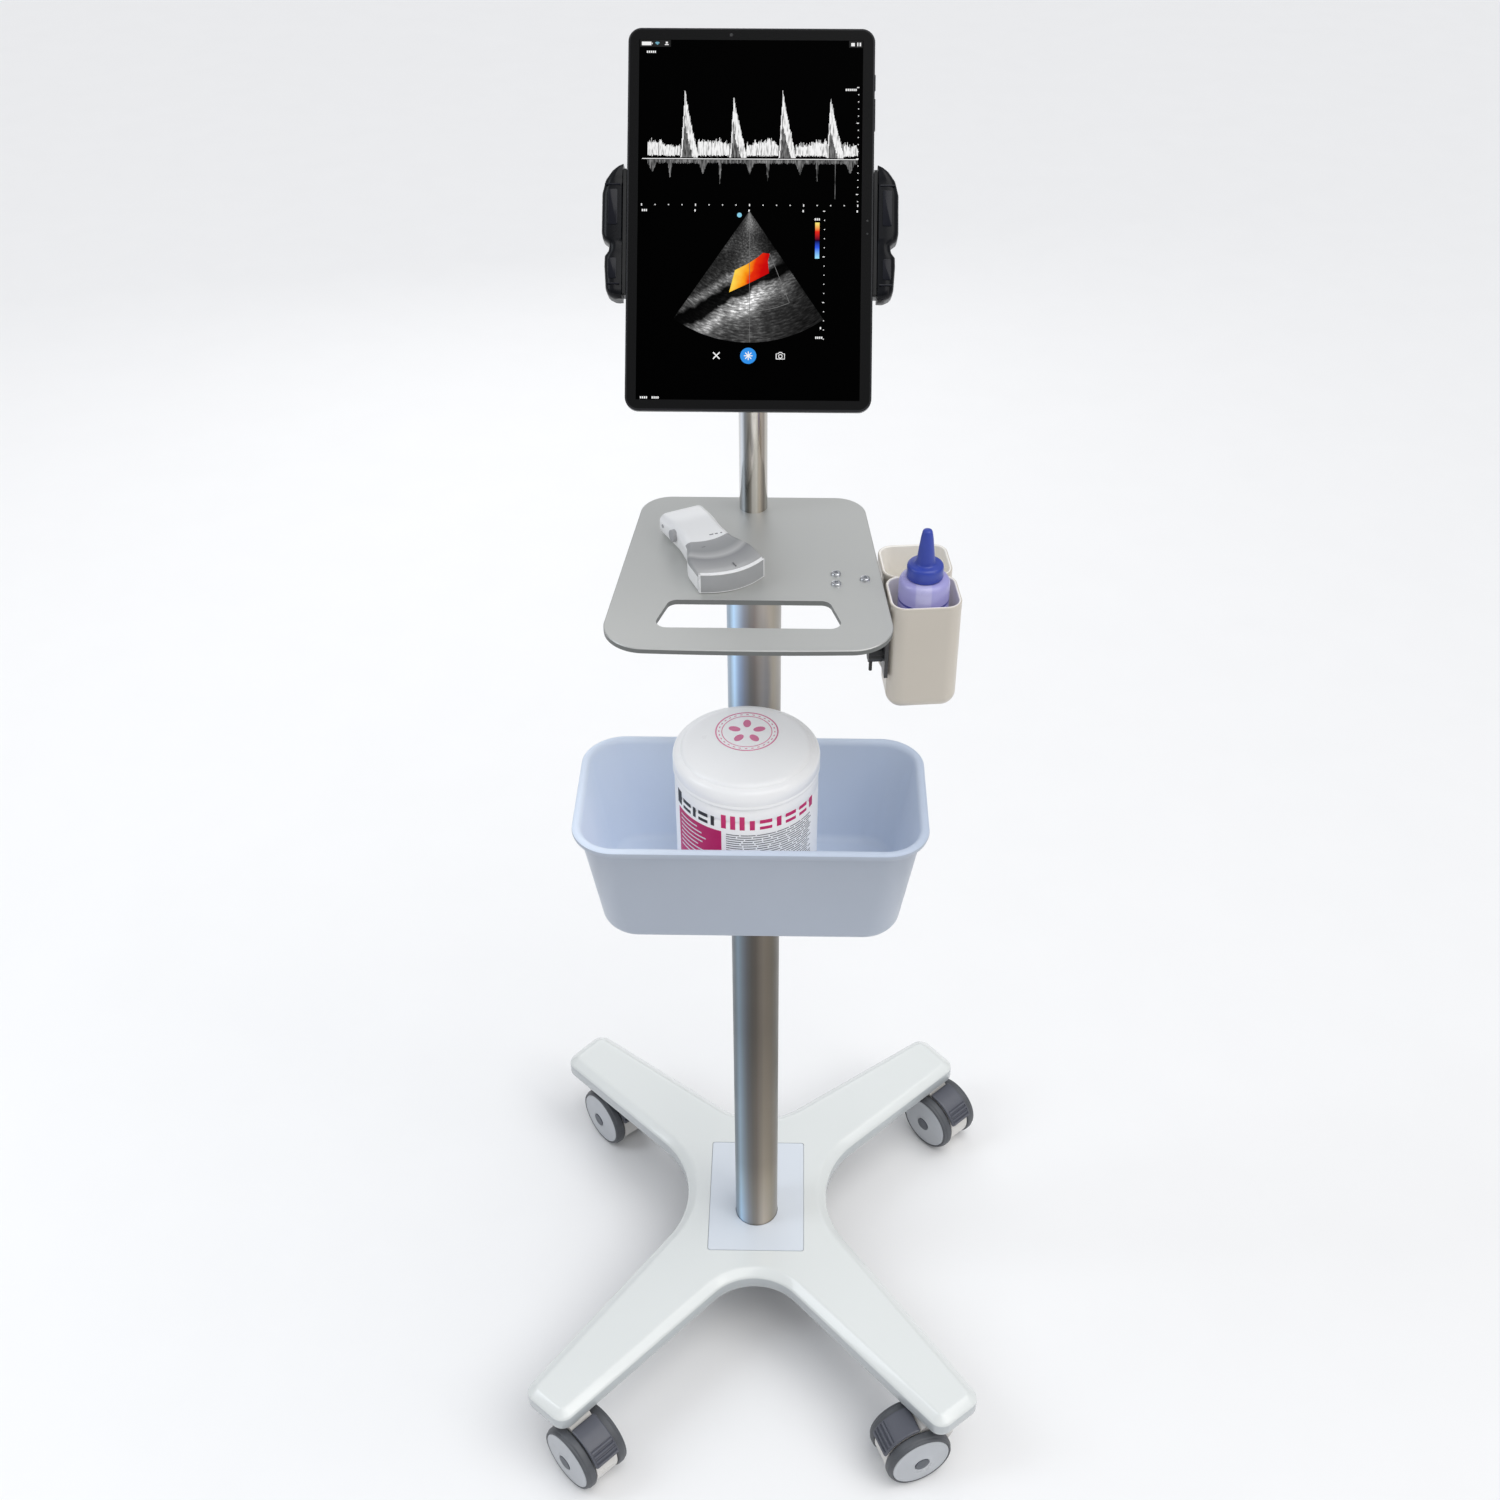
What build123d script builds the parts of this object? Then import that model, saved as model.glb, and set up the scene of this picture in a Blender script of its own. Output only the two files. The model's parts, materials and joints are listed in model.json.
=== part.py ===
from build123d import *
import os
from math import atan2, cos, degrees, hypot, radians, sin, sqrt

# A tablet ultrasound machine on a four-caster stand, in millimetres.
# +Z is up, the user stands on the -Y side, and the origin is on the floor under the column's axis.

# ---- driving dimensions ----
# Base: an X of two front and two rear legs, longer at the front because the column stands forward.
FRONT_NOTCH_Y = -58.0
FRONT_TIP_INNER = (186.0, -258.5)
FRONT_TIP_OUTER = (229.0, -223.0)
SIDE_NOTCH = (45.3, 35.9)
REAR_TIP_OUTER = (232.0, 215.5)
REAR_TIP_INNER = (194.0, 260.5)
REAR_NOTCH_Y = 113.5
TIP_RADIUS = 14.0
FRONT_NOTCH_RADIUS = 57.0
SIDE_NOTCH_RADIUS = 98.0
REAR_NOTCH_RADIUS = 74.0
COVER_BOTTOM = 79.5
COVER_SHOULDER = 94.5
COVER_TOP = 101.0
COVER_WALL = 3.0
BEVEL_WIDTH = 10.0
FRAME_INSET = 9.0
FRAME_BOTTOM = 84.0
FRAME_THICKNESS = 4.0
PLATE_WIDTH = 102.5
PLATE_FRONT = -54.5
PLATE_REAR = 91.0
COVER_SCREWS = [(125.0, -133.0), (-125.0, -133.0), (130.0, 164.0), (-130.0, 164.0)]

# Casters: 70 mm twin wheels. A caster is drawn with its stem on Z and its wheels trailing along +X.
STEM_INBOARD = 27.0
TRAIL = 33.0
WHEEL_RADIUS = 35.0
WHEEL_INNER = 13.8
WHEEL_OUTER = 25.5
HUB_FACE = 28.0
RIM_RADIUS = 27.5
DISC_RADIUS = 30.8
AXLE_RADIUS = 4.0
RUNNING = 0.05
STEM_RADIUS = 5.5
HOUSING_RADIUS = 33.2
HOUSING_HALF = 13.0
PEDAL_INNER = 36.2
PEDAL_OUTER = 39.8
PEDAL_HALF = 14.6
PEDAL_ARC = (22.0, 94.0)
REST_ANGLES = {"fl": -45.0, "fr": -157.0, "rl": -50.0, "rr": -47.0}

# Column, tube and tray.
COLUMN_RADIUS = 22.5
COLUMN_WALL = 2.0
FLANGE_RADIUS = 45.0
FLANGE_THICKNESS = 5.0
COLUMN_TOP = 972.0
TUBE_RADIUS = 11.0
TUBE_TOP = 1222.0
TRAY_BOTTOM = 976.0
TRAY_THICKNESS = 4.0
TRAY_TOP = TRAY_BOTTOM + TRAY_THICKNESS
TRAY_REAR = 15.0
TRAY_FRONT = -196.5
TRAY_REAR_HALF = 86.0
TRAY_FRONT_HALF = 106.5
TRAY_BOW = 3.0
SLOT_REAR = -135.0
SLOT_FRONT = -171.0
SLOT_REAR_HALF = 58.0
SLOT_FRONT_HALF = 69.0

# Bin in front of the column and the wipes tub that stands in it.
RIM_TOP = 774.0
BIN_BOTTOM = 670.0
BIN_REAR = -28.5
BIN_FRONT = -181.0
BIN_HALF = 143.0
BIN_LIP = 5.5
BIN_DRAFT_SIDE = 16.0
BIN_DRAFT_END = 7.0
BIN_WALL = 2.5
BIN_CORNER = 36.0
TUB_RADIUS = 58.0
TUB_CENTRE = (-4.0, -104.8)
TUB_TOP = 808.0
LID_TOP = 824.0

# Cup holder beside the tray, and the gel bottle in its front cup.
CUP_ANGLE = 5.54
CUP_GAP = 1.6
CUP_WIDTH = 53.0
CUP_LENGTH = 46.0
CUP_WALL = 2.2
CUP_TOP = 980.5
CUP_BOTTOM = 889.0
CUP_REAR = -58.0
BOTTLE_RADIUS = 18.8
BOTTLE_SHOULDER = 994.0
NOZZLE_TOP = 1033.0

# Probe that lies on the tray.
PROBE_REAR = (-54.0, -34.0)
PROBE_TURN = 27.0
PROBE_LENGTH = 106.0
PROBE_THICKNESS = 22.0
PROBE_REAR_HALF = 19.5
PROBE_HEAD_HALF = 28.5

# Tablet and holder, drawn upright about the tilt hinge and leaned back by TILT.
TILT = 37.94
HINGE_Y = -33.5
HINGE_Z = 1213.1
GLASS_Y = -40.0
TABLET_WIDTH = 165.4
TABLET_HEIGHT = 256.5
TABLET_THICKNESS = 6.5
TABLET_CORNER = 9.0
BEZEL = 7.0
BACK_GAP = 0.4
JAW_TOP = 37.8
JAW_WAIST = -17.0
JAW_BOTTOM = -52.6
JAW_OUTER = 100.0
CLEAR = 0.35
REST_GAP = 0.3


# ---- small helpers ----
def rod(radius, low, high, x=0.0, y=0.0):
    """Upright cylinder between two heights."""
    return Pos(x, y, (low + high) / 2) * Cylinder(radius, high - low)


def rod_y(radius, low, high, x=0.0, z=0.0):
    """Cylinder along Y between two Y values."""
    return Pos(x, (low + high) / 2, z) * Rot(90, 0, 0) * Cylinder(radius, high - low)


def rod_x(radius, low, high, y=0.0, z=0.0):
    """Cylinder along X between two X values."""
    return Pos((low + high) / 2, y, z) * Rot(0, 90, 0) * Cylinder(radius, high - low)


def block(low, high):
    """Box from its lowest to its highest corner."""
    size = [b - a for a, b in zip(low, high)]
    centre = [(a + b) / 2 for a, b in zip(low, high)]
    return Pos(*centre) * Box(*size)


def outline(points):
    return make_face(Polyline(*points, close=True))


def plate(sketch, low, high):
    """Extrudes a flat XY sketch between two heights."""
    return extrude(Pos(0, 0, low) * sketch, high - low)


def side_plate(sketch, half):
    """Extrudes a sketch drawn as (x, z) symmetrically to +-half along Y."""
    return Rot(90, 0, 0) * Pos(0, 0, -half) * extrude(sketch, 2 * half)


def pair(shape):
    """The shape and its mirror image across the YZ plane, as separate solids."""
    return [shape, mirror(shape, Plane.YZ)]


def group(shapes):
    return Compound(children=[s for shape in shapes for s in shape.solids()])


def hexagon(flats, low, high, x=0.0, y=0.0):
    return Pos(x, y, 0) * plate(RegularPolygon(flats / 2, 6, major_radius=False), low, high)


# ---- base ----
HALF_BASE = [
    ((0.0, FRONT_NOTCH_Y), FRONT_NOTCH_RADIUS, 1),
    (FRONT_TIP_INNER, TIP_RADIUS, -1),
    (FRONT_TIP_OUTER, TIP_RADIUS, -1),
    (SIDE_NOTCH, SIDE_NOTCH_RADIUS, 1),
    (REAR_TIP_OUTER, TIP_RADIUS, -1),
    (REAR_TIP_INNER, TIP_RADIUS, -1),
    ((0.0, REAR_NOTCH_Y), REAR_NOTCH_RADIUS, 1),
]
MIN_TIP_RADIUS = 2.0


def base_outline(inset):
    """X outline of the base, moved inwards by inset, with rounded tips and hollow notches."""
    left = [((-p[0], p[1]), r, s) for p, r, s in reversed(HALF_BASE[1:-1])]
    corners = HALF_BASE + left
    face = outline([p for p, r, s in corners])
    if inset:
        face = offset(face, -inset, kind=Kind.INTERSECTION)
    for point, radius, sign in corners:
        vertex = min(face.vertices(), key=lambda v: hypot(v.X - point[0], v.Y - point[1]))
        face = fillet(vertex, max(radius + sign * inset, MIN_TIP_RADIUS))
    return face


def raised(low, shoulder, top, inset, bevel):
    """Solid with the base's outline: an upright wall and a bevel round its top face."""
    wall = plate(base_outline(inset), low, shoulder)
    lower = Pos(0, 0, shoulder) * base_outline(inset)
    upper = Pos(0, 0, top) * base_outline(inset + bevel)
    return wall + loft([lower, upper], ruled=True)


def stem_places():
    """Stem axis of each caster: inboard of the middle of its leg's tip, along the leg."""
    places = {}
    for end, inner, outer in (("f", FRONT_TIP_INNER, FRONT_TIP_OUTER), ("r", REAR_TIP_INNER, REAR_TIP_OUTER)):
        middle = [(a + b) / 2 for a, b in zip(inner, outer)]
        edge = [a - b for a, b in zip(outer, inner)]
        length = hypot(*edge)
        normal = (edge[1] / length, -edge[0] / length)
        if normal[0] > 0:
            normal = (-normal[0], -normal[1])
        x = middle[0] + STEM_INBOARD * normal[0]
        y = middle[1] + STEM_INBOARD * normal[1]
        places[end + "r"] = (x, y)
        places[end + "l"] = (-x, y)
    return places


STEMS = stem_places()
PLATE_CENTRE_Y = (PLATE_FRONT + PLATE_REAR) / 2
PLATE_LENGTH = PLATE_REAR - PLATE_FRONT
PLATE_CORNER = 3.0
PLATE_BOTTOM = 99.5
PLATE_TOP = 101.5
PLATE_GAP = 0.5
LEDGE = 4.0
BOSS_RADIUS = 5.0
SCREW_RADIUS = 2.0
SCREW_TIP = 96.0
FRAME_TOP = FRAME_BOTTOM + FRAME_THICKNESS
FLANGE_BOLTS = [(x, y) for x in (-25.0, 25.0) for y in (-25.0, 25.0)]
BOLT_RADIUS = 4.0
STEM_COLLAR = 79.0
THREAD_RADIUS = 5.0


def make_base_cover():
    shell = raised(COVER_BOTTOM, COVER_SHOULDER, COVER_TOP, 0, BEVEL_WIDTH)
    inner_shoulder = COVER_SHOULDER - 2
    hollow = raised(COVER_BOTTOM - 1, inner_shoulder, COVER_TOP - COVER_WALL, COVER_WALL, BEVEL_WIDTH)
    cover = shell - hollow
    for x, y in COVER_SCREWS:
        cover += rod(BOSS_RADIUS, FRAME_TOP, COVER_TOP - COVER_WALL, x, y)
    for x, y in COVER_SCREWS:
        cover -= rod(SCREW_RADIUS, FRAME_TOP - 1, SCREW_TIP + 0.5, x, y)
    window = RectangleRounded(PLATE_WIDTH + 2 * PLATE_GAP, PLATE_LENGTH + 2 * PLATE_GAP, PLATE_CORNER)
    ledge_window = RectangleRounded(PLATE_WIDTH - 2 * LEDGE, PLATE_LENGTH - 2 * LEDGE, PLATE_CORNER)
    cover -= Pos(0, PLATE_CENTRE_Y, 0) * plate(window, PLATE_BOTTOM, COVER_TOP + 5)
    cover -= Pos(0, PLATE_CENTRE_Y, 0) * plate(ledge_window, COVER_BOTTOM, COVER_TOP + 5)
    return cover


def make_center_plate():
    sketch = Pos(0, PLATE_CENTRE_Y) * RectangleRounded(PLATE_WIDTH, PLATE_LENGTH, PLATE_CORNER)
    piece = plate(sketch, PLATE_BOTTOM, PLATE_TOP)
    piece = chamfer(piece.faces().sort_by(Axis.Z)[-1].edges(), 0.5)
    return piece - rod(COLUMN_RADIUS + 0.4, PLATE_BOTTOM - 1, PLATE_TOP + 1)


def make_base_frame():
    frame = plate(base_outline(FRAME_INSET), FRAME_BOTTOM, FRAME_TOP)
    for x, y in STEMS.values():
        frame -= rod(THREAD_RADIUS, FRAME_BOTTOM - 1, FRAME_TOP + 1, x, y)
    for x, y in FLANGE_BOLTS:
        frame -= rod(BOLT_RADIUS, FRAME_BOTTOM - 1, FRAME_TOP + 1, x, y)
    for x, y in COVER_SCREWS:
        frame -= rod(SCREW_RADIUS + 0.3, FRAME_BOTTOM - 1, FRAME_TOP + 1, x, y)
    return frame


def make_cover_screws():
    screws = []
    for x, y in COVER_SCREWS:
        head = rod(4.0, FRAME_BOTTOM - 3, FRAME_BOTTOM, x, y) - hexagon(3.0, FRAME_BOTTOM - 4, FRAME_BOTTOM - 1, x, y)
        screws.append(head + rod(SCREW_RADIUS - 0.02, FRAME_BOTTOM - 0.5, SCREW_TIP, x, y))
    return group(screws)


def make_caster_stems():
    stems = []
    for x, y in STEMS.values():
        stem = rod(STEM_RADIUS, STEM_BOTTOM, STEM_COLLAR + 1, x, y)
        stem += rod(11.0, STEM_COLLAR, FRAME_BOTTOM, x, y)
        stem += rod(THREAD_RADIUS, FRAME_BOTTOM - 1, FRAME_TOP + 6, x, y)
        stem += hexagon(16.0, FRAME_TOP, FRAME_TOP + 5, x, y)
        stems.append(stem)
    return group(stems)


# ---- column ----
FLANGE_TOP = FRAME_TOP + FLANGE_THICKNESS
TOP_PLUG_DEPTH = 34.0


def make_column_flange():
    flange = rod(FLANGE_RADIUS, FRAME_TOP, FLANGE_TOP)
    for x, y in FLANGE_BOLTS:
        flange -= rod(BOLT_RADIUS + 0.3, FRAME_TOP - 1, FLANGE_TOP + 1, x, y)
    weld = Pos(0, 0, FLANGE_TOP) * Cone(COLUMN_RADIUS + 3, COLUMN_RADIUS, 3, align=(Align.CENTER, Align.CENTER, Align.MIN))
    return flange + (weld - rod(COLUMN_RADIUS, FLANGE_TOP - 1, FLANGE_TOP + 4))


def make_flange_bolts():
    bolts = []
    for x, y in FLANGE_BOLTS:
        bolts.append(rod(BOLT_RADIUS - 0.02, FRAME_BOTTOM - 2, FLANGE_TOP + 1, x, y) + hexagon(13.0, FLANGE_TOP, FLANGE_TOP + 5, x, y))
    return group(bolts)


def make_lower_column():
    tube = rod(COLUMN_RADIUS, FLANGE_TOP, COLUMN_TOP)
    return tube - rod(COLUMN_RADIUS - COLUMN_WALL, FLANGE_TOP - 1, COLUMN_TOP + 1)


TRAY_BOLTS = [(-30.0, -26.0), (30.0, -26.0), (-30.0, -62.0), (30.0, -62.0)]


def make_tray_mount():
    """Plug in the column's top, with the plate that carries the tray and the bore that grips the tube."""
    plug = rod(COLUMN_RADIUS - COLUMN_WALL - 0.05, COLUMN_TOP - TOP_PLUG_DEPTH, COLUMN_TOP)
    pad = Pos(0, -30, 0) * plate(RectangleRounded(78, 88, 8), COLUMN_TOP, TRAY_BOTTOM)
    pad &= block((-50, -90, COLUMN_TOP), (50, TRAY_REAR - 2, TRAY_BOTTOM))
    mount = plug + pad + rod(COLUMN_RADIUS, COLUMN_TOP, TRAY_BOTTOM - 1)
    for x, y in TRAY_BOLTS:
        mount -= rod(2.7, COLUMN_TOP - 1, TRAY_BOTTOM + 1, x, y)
    return mount - rod(TUBE_RADIUS, COLUMN_TOP - TOP_PLUG_DEPTH - 1, TRAY_BOTTOM + 1)


def make_upper_tube():
    tube = rod(TUBE_RADIUS, COLUMN_TOP - TOP_PLUG_DEPTH, TUBE_TOP)
    tube -= rod(TUBE_RADIUS - 1.5, COLUMN_TOP - TOP_PLUG_DEPTH - 1, TUBE_TOP - 3)
    return chamfer(tube.faces().sort_by(Axis.Z)[-1].edges(), 1.0)


# ---- tray ----
def tray_half(y):
    """Half width of the tray at a distance y along it."""
    return TRAY_REAR_HALF + (TRAY_FRONT_HALF - TRAY_REAR_HALF) * (TRAY_REAR - y) / (TRAY_REAR - TRAY_FRONT)


CUP_SCREWS = [(63.5, -99.0), (63.5, -112.5), (85.0, -105.5)]


def make_tray():
    left_front = (-TRAY_FRONT_HALF, TRAY_FRONT)
    right_front = (TRAY_FRONT_HALF, TRAY_FRONT)
    left_rear = (-TRAY_REAR_HALF, TRAY_REAR)
    right_rear = (TRAY_REAR_HALF, TRAY_REAR)
    edge = Polyline(right_front, right_rear, left_rear, left_front)
    bow = ThreePointArc(left_front, (0, TRAY_FRONT - TRAY_BOW), right_front)
    sketch = make_face(edge + bow)
    sketch = fillet(sketch.vertices().filter_by(lambda v: v.Y > 0), 24)
    sketch = fillet(sketch.vertices().filter_by(lambda v: v.Y < TRAY_FRONT + 1), 31)
    tray = plate(sketch, TRAY_BOTTOM, TRAY_TOP)
    tray = chamfer(tray.faces().sort_by(Axis.Z)[-1].edges(), 0.6)
    slot = outline([(-SLOT_REAR_HALF, SLOT_REAR), (SLOT_REAR_HALF, SLOT_REAR),
                    (SLOT_FRONT_HALF, SLOT_FRONT), (-SLOT_FRONT_HALF, SLOT_FRONT)])
    tray -= plate(fillet(slot.vertices(), 8), TRAY_BOTTOM - 1, TRAY_TOP + 1)
    for x, y in CUP_SCREWS:
        tray -= rod(2.1, TRAY_BOTTOM - 1, TRAY_TOP + 1, x, y)
    for x, y in TRAY_BOLTS:
        tray -= rod(2.5, TRAY_BOTTOM - 1, TRAY_TOP - 1, x, y)
    return tray - rod(TUBE_RADIUS, TRAY_BOTTOM - 1, TRAY_TOP + 1)


def make_tray_screws():
    screws = []
    for x, y in TRAY_BOLTS:
        screws.append(rod(2.48, COLUMN_TOP - 0.5, TRAY_TOP - 1.4, x, y) + rod(4.5, COLUMN_TOP - 3, COLUMN_TOP, x, y))
    return group(screws)


# ---- bin ----
def bin_section(height, inset):
    """Plan of the bin's outside at a height, moved inwards by inset."""
    fall = (RIM_TOP - height) / (RIM_TOP - BIN_BOTTOM)
    half = BIN_HALF - BIN_LIP - BIN_DRAFT_SIDE * fall - inset
    rear = BIN_REAR - BIN_LIP - BIN_DRAFT_END * fall - inset
    front = BIN_FRONT + BIN_LIP + BIN_DRAFT_END * fall + inset
    corner = BIN_CORNER - BIN_LIP - inset
    return Pos(0, (rear + front) / 2, height) * RectangleRounded(2 * half, rear - front, corner)


def bin_body(low, high, inset):
    return loft([bin_section(low, inset), bin_section(high, inset)], ruled=True)


def make_bin():
    body = bin_body(BIN_BOTTOM, RIM_TOP - 1, 0)
    body = fillet(body.faces().sort_by(Axis.Z)[0].edges(), 9)
    hollow = bin_body(BIN_BOTTOM + BIN_WALL, RIM_TOP + 1, BIN_WALL)
    hollow = fillet(hollow.faces().sort_by(Axis.Z)[0].edges(), 7)
    middle = (BIN_REAR + BIN_FRONT) / 2
    rim = Pos(0, middle, 0) * plate(RectangleRounded(2 * BIN_HALF, BIN_REAR - BIN_FRONT, BIN_CORNER), RIM_TOP - 7, RIM_TOP)
    rim = fillet(rim.edges().group_by(Axis.Z)[0] + rim.edges().group_by(Axis.Z)[-1], 2.6)
    tub = (body + rim) - hollow
    for x in BIN_SCREW_X:
        tub -= rod_y(2.6, -60, -20, x, BIN_SCREW_Z)
    return tub


BIN_SCREW_X = (-14.0, 14.0)
BIN_SCREW_Z = 744.0
COLLAR_RADIUS = 27.5


def make_bin_bracket():
    """Collar on the column with a pad that follows the bin's rear wall."""
    collar = rod(COLLAR_RADIUS, BIN_SCREW_Z - 14, BIN_SCREW_Z + 14)
    pad = block((-24, -50, BIN_SCREW_Z - 14), (24, -10, BIN_SCREW_Z + 14))
    ears = block((-5, 15, BIN_SCREW_Z - 14), (5, 38, BIN_SCREW_Z + 14))
    bracket = collar + pad + ears
    bracket -= rod(COLUMN_RADIUS, BIN_SCREW_Z - 20, BIN_SCREW_Z + 20)
    bracket -= block((-1, 10, BIN_SCREW_Z - 20), (1, 50, BIN_SCREW_Z + 20))
    bracket -= rod_x(2.7, -10, 10, 32, BIN_SCREW_Z)
    bracket -= bin_body(BIN_BOTTOM, RIM_TOP, 0)
    for x in BIN_SCREW_X:
        bracket -= rod_y(2.5, -60, -24, x, BIN_SCREW_Z)
    return bracket


def make_bin_screws():
    """Two screws through the bin's rear wall and the one that closes the collar."""
    wall = BIN_REAR - BIN_LIP - BIN_DRAFT_END * (RIM_TOP - BIN_SCREW_Z) / (RIM_TOP - BIN_BOTTOM) - BIN_WALL
    screws = []
    for x in BIN_SCREW_X:
        screws.append(rod_y(5.0, wall - 3.4, wall - 0.4, x, BIN_SCREW_Z) + rod_y(2.48, wall - 1, -24.6, x, BIN_SCREW_Z))
    pinch = rod_x(2.6, -8, 10, 32, BIN_SCREW_Z) + rod_x(4.5, -8, -5, 32, BIN_SCREW_Z)
    nut = rod_x(4.5, 5, 9, 32, BIN_SCREW_Z)
    return group(screws + [pinch + nut])


# ---- wipes tub ----
TUB_FLOOR = BIN_BOTTOM + BIN_WALL + REST_GAP


def make_wipes_tub():
    x, y = TUB_CENTRE
    low = TUB_FLOOR
    tub = rod(TUB_RADIUS, low, TUB_TOP - 4, x, y)
    tub = fillet(tub.faces().sort_by(Axis.Z)[0].edges(), 5)
    tub += rod(TUB_RADIUS - 3, TUB_TOP - 6, TUB_TOP + 2, x, y)
    return tub - rod(TUB_RADIUS - 5, low + 1.5, TUB_TOP + 3, x, y)


def make_wipes_lid():
    """Cap over the tub's neck: a skirt, a rounded shoulder and a shallow dome."""
    x, y = TUB_CENTRE
    low = TUB_TOP - 4 + CLEAR
    lid = rod(TUB_RADIUS + 1, low, LID_TOP - 3, x, y)
    lid = fillet(lid.faces().sort_by(Axis.Z)[-1].edges(), 5)
    dome = rod(TUB_RADIUS - 5, LID_TOP - 4, LID_TOP, x, y)
    lid += fillet(dome.faces().sort_by(Axis.Z)[-1].edges(), 2.8)
    return lid - rod(TUB_RADIUS - 3 + CLEAR, low - 1, TUB_TOP + 2 + CLEAR, x, y)


# ---- cup holder and gel bottle ----
def beside_tray(shape):
    """Places a shape drawn with the cup's tray side on X = 0 and its rear face on Y = 0."""
    x = tray_half(CUP_REAR) + CUP_GAP
    return Pos(x, CUP_REAR, 0) * Rot(0, 0, CUP_ANGLE) * shape


def cup_sketch(inset):
    """Two rounded cups in a row, rear and front, that share the wall between them."""
    size = (CUP_WIDTH - 2 * inset, CUP_LENGTH - 2 * inset)
    cups = []
    for row in (0, 1):
        y = -CUP_LENGTH / 2 - row * (CUP_LENGTH - CUP_WALL)
        cups.append(Pos(CUP_WIDTH / 2, y) * RectangleRounded(*size, 12 - inset))
    return cups


def make_cup_holder():
    body = None
    for sketch in cup_sketch(0):
        solid = fillet(plate(sketch, CUP_BOTTOM, CUP_TOP).faces().sort_by(Axis.Z)[0].edges(), 11)
        body = solid if body is None else body + solid
    for sketch in cup_sketch(CUP_WALL):
        hollow = plate(sketch, CUP_BOTTOM + CUP_WALL, CUP_TOP + 1)
        body -= fillet(hollow.faces().sort_by(Axis.Z)[0].edges(), 5)
    body = fillet(body.faces().sort_by(Axis.Z)[-1].edges(), 0.9)
    divider_y = -CUP_LENGTH + CUP_WALL / 2
    dip = Pos(CUP_WIDTH / 2, divider_y, CUP_TOP + 20) * Rot(90, 0, 0) * Cylinder(26, 8)
    body -= dip
    body -= rod_x(2.2, -1, CUP_WALL + 1, KNOB_Y, KNOB_Z)
    return beside_tray(body)


KNOB_Y = -73.0
KNOB_Z = 934.0
ARM_LOW = 918.0


def make_cup_bracket():
    """Angle under the tray that reaches past its edge and down the side of the cup."""
    wing = block((-48, -62, TRAY_BOTTOM - 3), (-1.0, -38, TRAY_BOTTOM))
    leg = block((-3.0, -86, ARM_LOW), (-0.2, -38, TRAY_BOTTOM - 2))
    bracket = fillet((wing + leg).edges().filter_by(Axis.Y).sort_by(Axis.X)[0], 1.0)
    bracket -= rod_x(3.1, -10, 2, KNOB_Y, KNOB_Z)
    bracket = beside_tray(bracket)
    for x, y in CUP_SCREWS:
        bracket -= rod(2.1, TRAY_BOTTOM - 5, TRAY_BOTTOM + 1, x, y)
    return bracket & block((0, -200, 900), (200, 0, TRAY_BOTTOM))


def make_cup_screws():
    screws = []
    for x, y in CUP_SCREWS:
        head = rod(3.8, TRAY_TOP, TRAY_TOP + 2.2, x, y)
        head = fillet(head.faces().sort_by(Axis.Z)[-1].edges(), 1.4)
        head -= hexagon(2.5, TRAY_TOP + 0.9, TRAY_TOP + 4, x, y)
        screws.append(head + rod(2.08, TRAY_BOTTOM - 5, TRAY_TOP + 0.5, x, y))
    return group(screws)


def make_cup_knob():
    """Thumb screw with a cross bar, which pins the cup to the bracket's leg."""
    head = rod_x(8.0, -14.0, -3.4, KNOB_Y, KNOB_Z)
    for step in range(8):
        angle = radians(45 * step)
        head -= rod_x(1.6, -15, -2, KNOB_Y + 8.6 * cos(angle), KNOB_Z + 8.6 * sin(angle))
    bar = Pos(-11.5, KNOB_Y, KNOB_Z) * Cylinder(1.3, 34)
    shank = rod_x(2.15, -4, CUP_WALL - 0.2, KNOB_Y, KNOB_Z)
    return beside_tray(head + bar + shank)


BOTTLE_LOCAL = (CUP_WIDTH / 2, -CUP_LENGTH / 2 - (CUP_LENGTH - CUP_WALL))
BOTTLE_BOTTOM = CUP_BOTTOM + CUP_WALL + REST_GAP
NECK_RADIUS = 9.0
CAP_RADIUS = 13.4
NECK_TOP = BOTTLE_SHOULDER + 9.0


def make_gel_bottle():
    x, y = BOTTLE_LOCAL
    low = BOTTLE_BOTTOM
    body = rod(BOTTLE_RADIUS, low, BOTTLE_SHOULDER, x, y)
    body = fillet(body.faces().sort_by(Axis.Z)[-1].edges(), 4)
    body = fillet(body.faces().sort_by(Axis.Z)[0].edges(), 5)
    body += rod(NECK_RADIUS, BOTTLE_SHOULDER - 2, NECK_TOP, x, y)
    inside = rod(BOTTLE_RADIUS - 1.5, low + 1.5, BOTTLE_SHOULDER - 4, x, y)
    return beside_tray(body - inside - rod(NECK_RADIUS - 2, low + 5, NECK_TOP + 1, x, y))


def make_bottle_cap():
    x, y = BOTTLE_LOCAL
    low = BOTTLE_SHOULDER + CLEAR
    skirt_top = NECK_TOP + 2.5
    cap = rod(CAP_RADIUS, low, skirt_top, x, y)
    cap = fillet(cap.faces().sort_by(Axis.Z)[-1].edges(), 2.2)
    height = NOZZLE_TOP - skirt_top + 1
    nozzle = Pos(x, y, skirt_top - 1 + height / 2) * Cone(7.2, 3.4, height)
    cap += fillet(nozzle.edges().sort_by(Axis.Z)[-1], 1.6)
    return beside_tray(cap - rod(NECK_RADIUS + CLEAR, low - 1, NECK_TOP + CLEAR, x, y))


# ---- probe ----
def on_tray(shape):
    """Places the probe, drawn from its rear end at the origin with its head towards -Y."""
    x, y = PROBE_REAR
    return Pos(x, y, TRAY_TOP + REST_GAP) * Rot(0, 0, PROBE_TURN) * shape


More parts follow.
